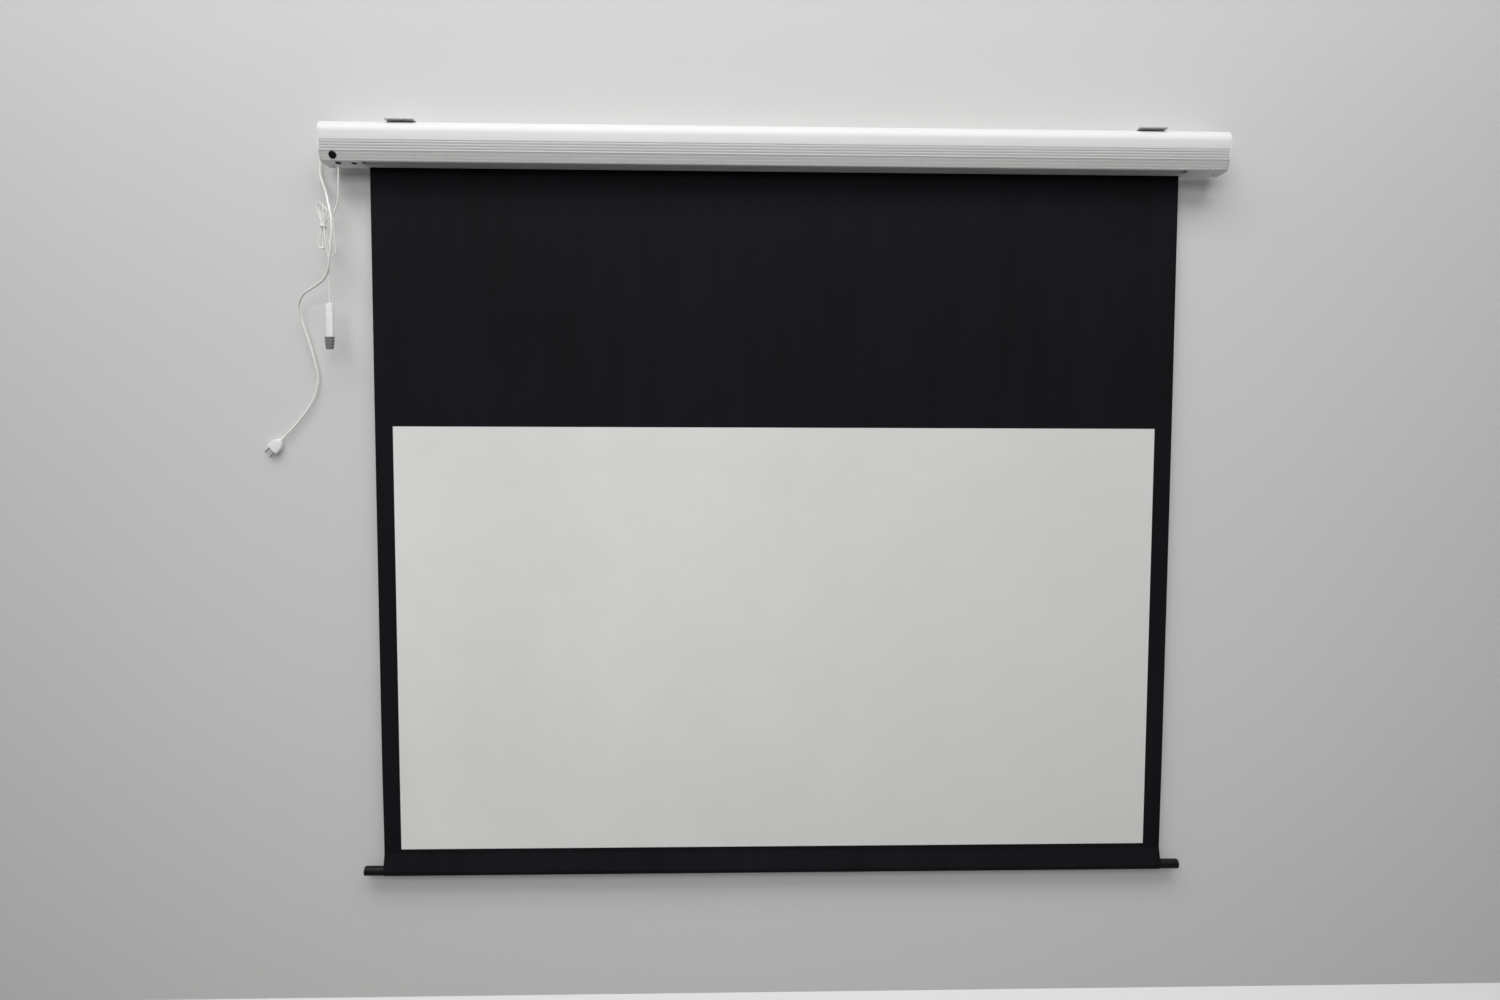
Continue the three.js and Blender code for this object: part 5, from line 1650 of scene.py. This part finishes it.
@dataclass(frozen=True)
class Case:
    """The extruded case: its section, the openings under its ends, its caps, covers and screws."""

    # The section: the facet goes from a step below the face's foot to its own foot, as depth and height
    depth: float = 78.0
    height: float = 112.0
    wall: float = 1.8
    rear_corner: float = 6.0
    top_corner: float = 4.0
    corner_steps: int = 8
    shoulder: float = 34.0
    lean: float = 5.5
    face_foot: float = 27.0
    facet_step: tuple[float, float] = (-1.0, -0.8)
    facet_foot: tuple[float, float] = (62.5, 1.2)
    facet_slope: float = 0.36
    toe: float = 61.3
    toe_share: float = 0.4
    inner_toe: float = 64.5
    sharp: float = 30.0

    # Reeds: how many the face and the facet have, and where the face's first one is
    reeds: tuple[int, int] = (4, 3)
    reed_top: float = 57.0
    reed_width: float = 1.6
    reed_depth: float = 0.8

    # The cloth's slot and the groove in the underside, from depth to depth, and the rail in the top
    slot: tuple[float, float] = (3.5, 12.5)
    guide: float = 8.0
    groove: tuple[float, float] = (33.0, 58.8)
    groove_depth: float = 11.0
    rail_centre: float = 30.0
    rail_mouth: float = 4.0
    rail_half: float = 8.0
    rail_depth: float = 4.8

    # Under each end an opening's length, depth and height, and the gland's hole as x, z and radius.
    # Each is cut a little past what it cuts
    opening: Place = (106.0, 59.1, 14.6)
    gland_hole: Place = (-1238.0, -59.0, 5.7)
    past: float = 5.0

    # The remote window's place, and how thick and wide its seat, lens and dome are
    eye_x: float = -1234.0
    eye_height: float = 15.2
    eye_seat: tuple[float, float] = (2.7, 11.0)
    eye_lens: tuple[float, float] = (2.4, 10.7)
    eye_dome: tuple[float, float] = (1.2, 10.1)

    # The key hole's x and y, and the profile of its black bush, a dark lining that stands in for the shade
    # inside the hole
    key_hole: tuple[float, float] = (-1184.0, -66.03)
    key_shade_bush: tuple[tuple[float, float], ...] = (
        (-0.9, 5.2), (-0.9, 7.6), (-0.1, 7.6), (-0.1, 6.0), (2.6, 6.0), (2.6, 5.2))
    shade_bush_edge: float = 0.2

    # End caps, with their holes at a depth and a height, and cover plates, with a screw from end and rear
    cap_margin: float = 0.6
    cap_thick: float = 4.0
    cap_round: float = 1.4
    cap_hole: float = 1.5
    cap_screw: Screw = Screw(3.2, 1.8, 1.2, 14.0)
    ports: tuple[tuple[float, float], ...] = ((46.5, 107.4), (68.99, 34.0))
    cover_edge: float = 0.35
    cover_screw: Screw = Screw(3.4, 1.4, 1.6, 9.0)
    cover_screw_place: tuple[float, float] = (14.0, 20.0)

    @property
    def tilt(self) -> float:
        """How far the facet leans from upright, in radians."""
        return math.atan(self.facet_slope)

    def face(self, h: np.ndarray) -> np.ndarray:
        """Depth of the face at a height: it leans back by the 1.5th power of the way down from the nose."""
        nose = self.height - self.shoulder
        return self.depth - self.lean * ((nose - h) / (nose - self.face_foot)) ** 1.5

    def reed(self) -> tuple[np.ndarray, np.ndarray]:
        """A reed's points: places across it, and its cut, a raised cosine, depth * (1 + cos a) / 2."""
        t = np.linspace(-1, 1, 9)
        return t * self.reed_width / 2, self.reed_depth * (1 + np.cos(t * np.pi)) / 2

    def facet_reeds(self, start: np.ndarray, end: np.ndarray) -> np.ndarray:
        """The lower facet as a line with reeds cut inwards at equal steps.

        Args:
            start: where the line starts.
            end: where it ends.

        Returns:
            The points of the reeds, from start to end.
        """
        count = self.reeds[1]
        step = (end - start) / count
        unit = step / np.linalg.norm(step)
        inward = np.array([unit[1], -unit[0]])
        across, cut = self.reed()
        middles = start + step * (np.arange(count)[:, None] + 0.5)
        return (middles[:, None] + unit * across[:, None] + inward * cut[:, None]).reshape(-1, 2)

    def front(self, inset: float, reeded: bool) -> np.ndarray:
        """The outline over the top and down the front, from the rear top corner to the facet's foot.

        Args:
            inset: how far inside the outer face it runs.
            reeded: cuts the reeds, which only the outer face has.

        Returns:
            Rows of depth and height.
        """
        r, edge = self.shoulder, self.top_corner
        top = arc((edge, self.height - edge), (edge - inset, edge - inset), 180, 90, self.corner_steps)
        nose = arc((self.depth - r, self.height - r), (r - inset, r - inset), 90, 0, 40)
        h = np.linspace(self.height - r, self.reed_top, 12)[1:]
        upper = np.stack([self.face(h) - inset, h], 1)
        foot = np.array([self.depth - self.lean, self.face_foot])
        facet = np.array([foot + self.facet_step, self.facet_foot])
        if reeded:
            across, cut = self.reed()
            middles = (np.arange(self.reeds[0])[:, None] + 0.5) / self.reeds[0]
            h = self.reed_top - (self.reed_top - self.face_foot) * middles - across
            lower = np.vstack([np.stack([self.face(h) - cut, h], -1).reshape(-1, 2), foot])
            below = np.vstack([facet[:1], self.facet_reeds(*facet), facet[1:]])
        else:
            h = np.linspace(self.reed_top, self.face_foot, 12)[1:]
            lower = np.stack([self.face(h) - inset, h], 1)
            below = facet + np.array([-math.cos(self.tilt), math.sin(self.tilt)]) * inset
        return np.vstack([top, nose, upper, lower, below])

    def outline(self, grow: float) -> np.ndarray:
        """The outer outline without reeds, grown outwards.

        Args:
            grow: how far outside the outer face it runs.

        Returns:
            Rows of depth and height.
        """
        r = self.rear_corner
        rear = arc((r, r), (r + grow, r + grow), 270, 180, 10)
        return np.vstack([rear, self.front(-grow, False), [(self.toe + grow * self.toe_share, -grow)]])

    def section(self) -> np.ndarray:
        """The whole wall as one closed outline: the outside with the rail and groove, then the inside.

        Returns:
            Rows of depth and height.
        """
        r, wall, (rear_lip, front_lip) = self.rear_corner, self.wall, self.slot
        start = math.degrees(math.acos((rear_lip - r) / r))
        rear = arc((r, r), (r, r), 360 - start, 180, 8)
        front = self.front(0.0, True)
        top_end = self.corner_steps + 1
        mouth, half, middle = self.rail_mouth, self.rail_half, self.rail_centre
        lip = self.height - wall
        bed = lip - self.rail_depth
        rail = [(middle - mouth, self.height), (middle - mouth, lip), (middle - half, lip),
                (middle - half, bed), (middle + half, bed),
                (middle + half, lip), (middle + mouth, lip), (middle + mouth, self.height)]
        back, fore = self.groove
        roof = self.groove_depth + wall
        under = [(self.toe, 0), (fore, 0), (fore, self.groove_depth), (back, self.groove_depth), (back, 0),
                 (front_lip, 0), (front_lip, self.guide), (front_lip + wall, self.guide),
                 (front_lip + wall, wall), (back - wall, wall), (back - wall, roof), (self.inner_toe, roof)]
        inside = self.front(wall, False)[::-1]
        near, far = middle - half - wall, middle + half + wall
        inner_front = inside[(inside[:, 1] > roof) & (inside[:, 0] > far)]
        inner_rear = inside[inside[:, 0] < near]
        channel = [(far, lip), (far, bed - wall), (near, bed - wall), (near, lip)]
        close = [(wall, self.guide), (rear_lip, self.guide)]
        return np.vstack([rear, front[:top_end], rail, front[top_end:], under, inner_front, channel,
                          inner_rear, close])

    def on_facet(self, profile: Profile, sides: int = 64) -> Surface:
        """A turned piece set on the lower facet at the window, with its axis along the facet's normal.

        Args:
            profile: place out from the facet and radius.
            sides: how many steps a full turn has.

        Returns:
            The closed surface.
        """
        turn = facing((0, -math.cos(self.tilt), -math.sin(self.tilt)), Axis.X.value)
        foot_depth, foot_height = self.facet_foot
        d = foot_depth + (self.eye_height - foot_height) * self.facet_slope
        place = (self.eye_x, REAR_Y - d, UNDER_Z + self.eye_height)
        return lathe(profile, (0, 0, 0), sides=sides).turned(turn, place)

    def shell(self) -> None:
        """Carries the section along X and cuts the end openings, the window's hole and the gland's hole."""
        gland_x, gland_z, gland_radius = self.gland_hole
        seat, hole = self.eye_seat
        cutters = [self.on_facet(rod(-seat, self.past, hole), 48),
                   lathe(rod(REAR_Y - self.past, REAR_Y + self.past, gland_radius), (gland_x, 0, gland_z),
                         Axis.Y, 32)]
        length, front, height = self.opening
        for side in Side:
            ends = sorted((side.value * (HALF_CASE + self.past), side.value * (HALF_CASE - length)))
            cutters.append(box_surface((ends[0], REAR_Y - front, UNDER_Z - self.past),
                                       (ends[1], REAR_Y - self.slot[0], UNDER_Z + height)))
        xs = np.linspace(-HALF_CASE, HALF_CASE, 9)
        run = in_room(xs[:, None], np.tile(self.section(), (len(xs), 1, 1)))
        make("case_extrusion", grid(run, ring=True, capped=True), CASE_WHITE, Body.CASE, ("case_shell",),
             cutters, sharp=self.sharp)

    def cap(self, side: Side) -> None:
        """An end cap: the case's outline grown by a margin, with its outer edge rounded and two holes.

        Args:
            side: the end of the case that it closes.
        """
        angle = quarter(7)
        place = np.concatenate([[0.0], self.cap_thick - self.cap_round * (1 - np.sin(angle))])
        shrink = np.concatenate([[0.0], self.cap_round * (1 - np.cos(angle))])
        rings = np.stack([self.outline(self.cap_margin - s) for s in shrink])
        points = in_room((side.value * (HALF_CASE + GAP + place))[:, None], rings)
        middle = side.value * (HALF_CASE + self.cap_thick / 2)
        hole = rod(-self.past, self.past, self.cap_hole)
        holes = [lathe(hole, (middle, REAR_Y - d, UNDER_Z + h), Axis.X, 24) for d, h in self.ports]
        make(f"end_cover_{side.word}", grid(points, ring=True, capped=True), WHITE_PLASTIC, Body.CASE,
             (f"end_cap_{side.word}",), holes)

    def window(self) -> None:
        """The remote window's lens: a low dome on a disc that sits in the facet."""
        angle = quarter(12)[::-1]
        dome = np.stack([self.eye_dome[0] * np.sin(angle), self.eye_dome[1] * np.cos(angle)], 1)
        thick, radius = self.eye_lens
        profile = [*map(tuple, dome), (0.0, radius), (-thick, radius), (-thick, 0)]
        make("sensor_lens", self.on_facet(profile), WINDOW_BLACK, Body.CASE, ("sensor_window",))

    def build(self) -> None:
        """Makes the shell, caps, covers, screws, the key hole's black bush, which stands in for the shade
        inside the hole, and the window.
        """
        self.shell()
        for side in Side:
            self.cap(side)
            eased(f"under_plate_{side.word}", f"cover_plate_{side.word}", WHITE_PLASTIC, Body.CASE,
                  self.cover_edge)
            seat = side.value * (HALF_CASE + self.cap_thick + 2 * GAP)
            for i, (d, h) in enumerate(self.ports, 1):
                self.cap_screw.build(f"cap_fixing_{side.word}_{i}", f"cap_screw_{side.word}_{i}",
                                     (seat, REAR_Y - d, UNDER_Z + h), (side.value, 0, 0))
            inwards, forwards = self.cover_screw_place
            self.cover_screw.build(f"cover_fixing_{side.word}", f"cover_screw_{side.word}",
                                   (side.value * (HALF_CASE - inwards), REAR_Y - forwards, UNDER_Z - GAP),
                                   (0, 0, -1))
        # Painted shade made as a piece: a black rubber bush set where the key hole would be in shade.
        make("limit_key_shade_bush", lathe(self.key_shade_bush, (*self.key_hole, UNDER_Z), closed=True), BLACK_RUBBER,
             Body.CASE, bevel=self.shade_bush_edge)
        self.window()


@dataclass(frozen=True)
class Fittings:
    """The wall brackets with their bolts and nuts, and what works inside the case."""

    bracket_edge: float = 0.6
    bolt_edge: float = 0.3
    nut_edge: float = 0.4
    inside: tuple[str, ...] = (
        "sensor_board", "control_housing", "control_board", "end_plate_left", "end_plate_right", "motor_head",
        "motor_tube", "motor_capacitor", "motor_brake", "motor_windings", "motor_gearbox", "limit_screw_up",
        "limit_screw_down", "roller_tube", "crown_ring", "drive_shaft", "drive_wheel", "idler_plug",
        "idler_pin", "idler_bush", "cloth_spline")

    def build(self) -> None:
        """Eases the edges of the brackets and their fixings, and dresses the rest as the record says."""
        for side, body in ((Side.LEFT, Body.LEFT_HANGER), (Side.RIGHT, Body.RIGHT_HANGER)):
            eased(f"wall_bracket_{side.word}", f"bracket_{side.word}", ZINC_STEEL, body, self.bracket_edge)
            eased(f"rail_bolt_{side.word}", f"clamp_bolt_{side.word}", PLAIN_STEEL, body, self.bolt_edge)
            eased(f"rail_nut_{side.word}", f"clamp_nut_{side.word}", PLAIN_STEEL, body, self.nut_edge)
        slots = {row["node"]: row["material_slot"] for row in frame["record"]["subparts"]}
        for node in self.inside:
            dress(node, FINISHES[slots[node]])


# Studio


@dataclass(frozen=True)
class Lamp:
    """A rectangular soft lamp that doesn't show itself, in metres, watts and degrees."""

    name: str
    place: Place
    aim: Place
    size: tuple[float, float]
    power: float
    spread: float = 180.0

    def build(self) -> None:
        """Sets the lamp at its place and points it at its aim."""
        data = bpy.data.lights.new(self.name, "AREA")
        data.shape, data.size, data.size_y, data.energy = "RECTANGLE", *self.size, self.power
        data.spread = math.radians(self.spread)
        made = bpy.data.objects.new(self.name, data)
        made.location = self.place
        made.rotation_euler = (Vector(self.aim) - Vector(self.place)).to_track_quat("-Z", "Y").to_euler()
        made.visible_camera = False
        bpy.context.scene.collection.objects.link(made)


@dataclass(frozen=True)
class Studio:
    """Pale wall and floor, soft lamps above, in front and below, and one behind for rear views.

    Its sizes are in metres.
    """

    wall_y: float = 0.002
    floor_z: float = -2.52
    top_z: float = 8.0
    half: float = 16.0
    wall_colour: Colour = (0.68, 0.68, 0.675)
    floor_colours: tuple[Colour, Colour] = ((0.74, 0.74, 0.735), (0.78, 0.78, 0.775))
    floor_bounce: Colour = (0.22, 0.22, 0.215)
    low_sky: Colour = (0.24, 0.24, 0.24)
    high_sky: Colour = (1.0, 1.0, 1.0)
    seen_sky: Colour = (0.8, 0.8, 0.8)
    fill: float = 0.3
    lamps: tuple[Lamp, ...] = (
        Lamp("ceiling", (-0.2, -2.35, 2.85), (0.0, -0.4, -0.7), (7.0, 2.0), 98.0, 130.0),
        Lamp("front", (-0.8, -4.3, 1.1), (0.0, 0.0, -0.6), (4.0, 1.5), 62.0),
        Lamp("low", (-0.1, -2.9, -0.9), (0.0, 0.0, -2.0), (4.5, 0.8), 3.0, 75.0),
        Lamp("rear", (0.8, 3.2, 1.2), (0.0, 0.0, -0.8), (3.0, 2.0), 45.0))

    def plane(self, name: str, points: Sequence[Place], material: bpy.types.Material) -> None:
        """Makes one flat face that isn't part of the object.

        Args:
            name: its name.
            points: its corners in order, in metres.
            material: its material.
        """
        mesh = bpy.data.meshes.new(name)
        mesh.from_pydata(points, [], [tuple(range(len(points)))])
        mesh.materials.append(material)
        made = bpy.data.objects.new(name, mesh)
        bpy.context.scene.collection.objects.link(made)

    def backdrop_material(self) -> bpy.types.Material:
        """Pale matt paint that is clear from behind and to shadow rays, so rear views see the screen.

        Returns:
            The wall's material.
        """
        material = bpy.data.materials.new("studio_backdrop")
        shader = Shader(material)
        light = shader.node("ShaderNodeLightPath", out="Is Shadow Ray")
        behind = shader.node("ShaderNodeNewGeometry", out="Backfacing")
        base = shader.tones(shader.noise(shader.place(), 1.2), self.wall_colour, 0.985, 1.015)
        paint = shader.node("ShaderNodeBsdfDiffuse", {}, {"Color": base})
        glass = shader.node("ShaderNodeBsdfTransparent")
        clear = light.math("MAXIMUM", light, behind)
        mixed = shader.node("ShaderNodeMixShader", {}, {0: clear, 1: paint, 2: glass})
        shader.node("ShaderNodeOutputMaterial", {}, {"Surface": mixed})
        return material

    def floor_material(self) -> bpy.types.Material:
        """Pale matt floor with faint clouds, which throws back less light than it shows.

        Returns:
            The floor's material.
        """
        material = bpy.data.materials.new("studio_floor")
        shader = Shader(material)
        base = shader.mix(shader.noise(shader.place(), 1.0), *map(tone, self.floor_colours))
        seen = shader.node("ShaderNodeLightPath", out="Is Camera Ray")
        shader.surface({"Base Color": shader.mix(seen, tone(self.floor_bounce), base),
                        "Roughness": 0.9, "Specular IOR Level": 0.1})
        return material

    def world(self) -> None:
        """Even pale surroundings: a soft fill, and near white where the camera sees it."""
        world = bpy.data.worlds.new("studio_world")
        bpy.context.scene.world = world
        shader = Shader(world)
        seen = shader.node("ShaderNodeLightPath", out="Is Camera Ray")
        height = shader.part(shader.node("ShaderNodeTexCoord", out="Generated"), "Z")
        sky = shader.mix(height.ramp(-0.1, 0.5), tone(self.low_sky), tone(self.high_sky))
        fill = shader.node("ShaderNodeBackground", {}, {"Color": sky, "Strength": self.fill})
        pale = shader.node("ShaderNodeBackground", {}, {"Color": tone(self.seen_sky), "Strength": 1.0})
        both = shader.node("ShaderNodeMixShader", {}, {0: seen, 1: fill, 2: pale})
        shader.node("ShaderNodeOutputWorld", {}, {"Surface": both})

    def build(self) -> None:
        """Sets the view transform, the backdrop, the floor, the lamps and the world."""
        bpy.context.scene.view_settings.view_transform = "Standard"
        far, floor, back = self.half, self.floor_z, self.wall_y
        wall = [(-far, back, floor), (far, back, floor), (far, back, self.top_z), (-far, back, self.top_z)]
        ground = [(-far, -far, floor), (far, -far, floor), (far, far, floor), (-far, far, floor)]
        self.plane("studio_wall", wall, self.backdrop_material())
        self.plane("studio_ground", ground, self.floor_material())
        for lamp in self.lamps:
            lamp.build()
        self.world()


def main() -> None:
    """Builds the camera, the cords, the other pieces and the studio, in that order."""
    logging.basicConfig(level=logging.INFO, format="%(name)s: %(message)s")
    Camera().build()
    MainsCord().build()
    ControlCord().build()
    HandControl().build()
    ScreenCloth().build()
    WeightBar().build()
    Case().build()
    Fittings().build()
    Studio().build()


if __name__ == "__main__":
    main()
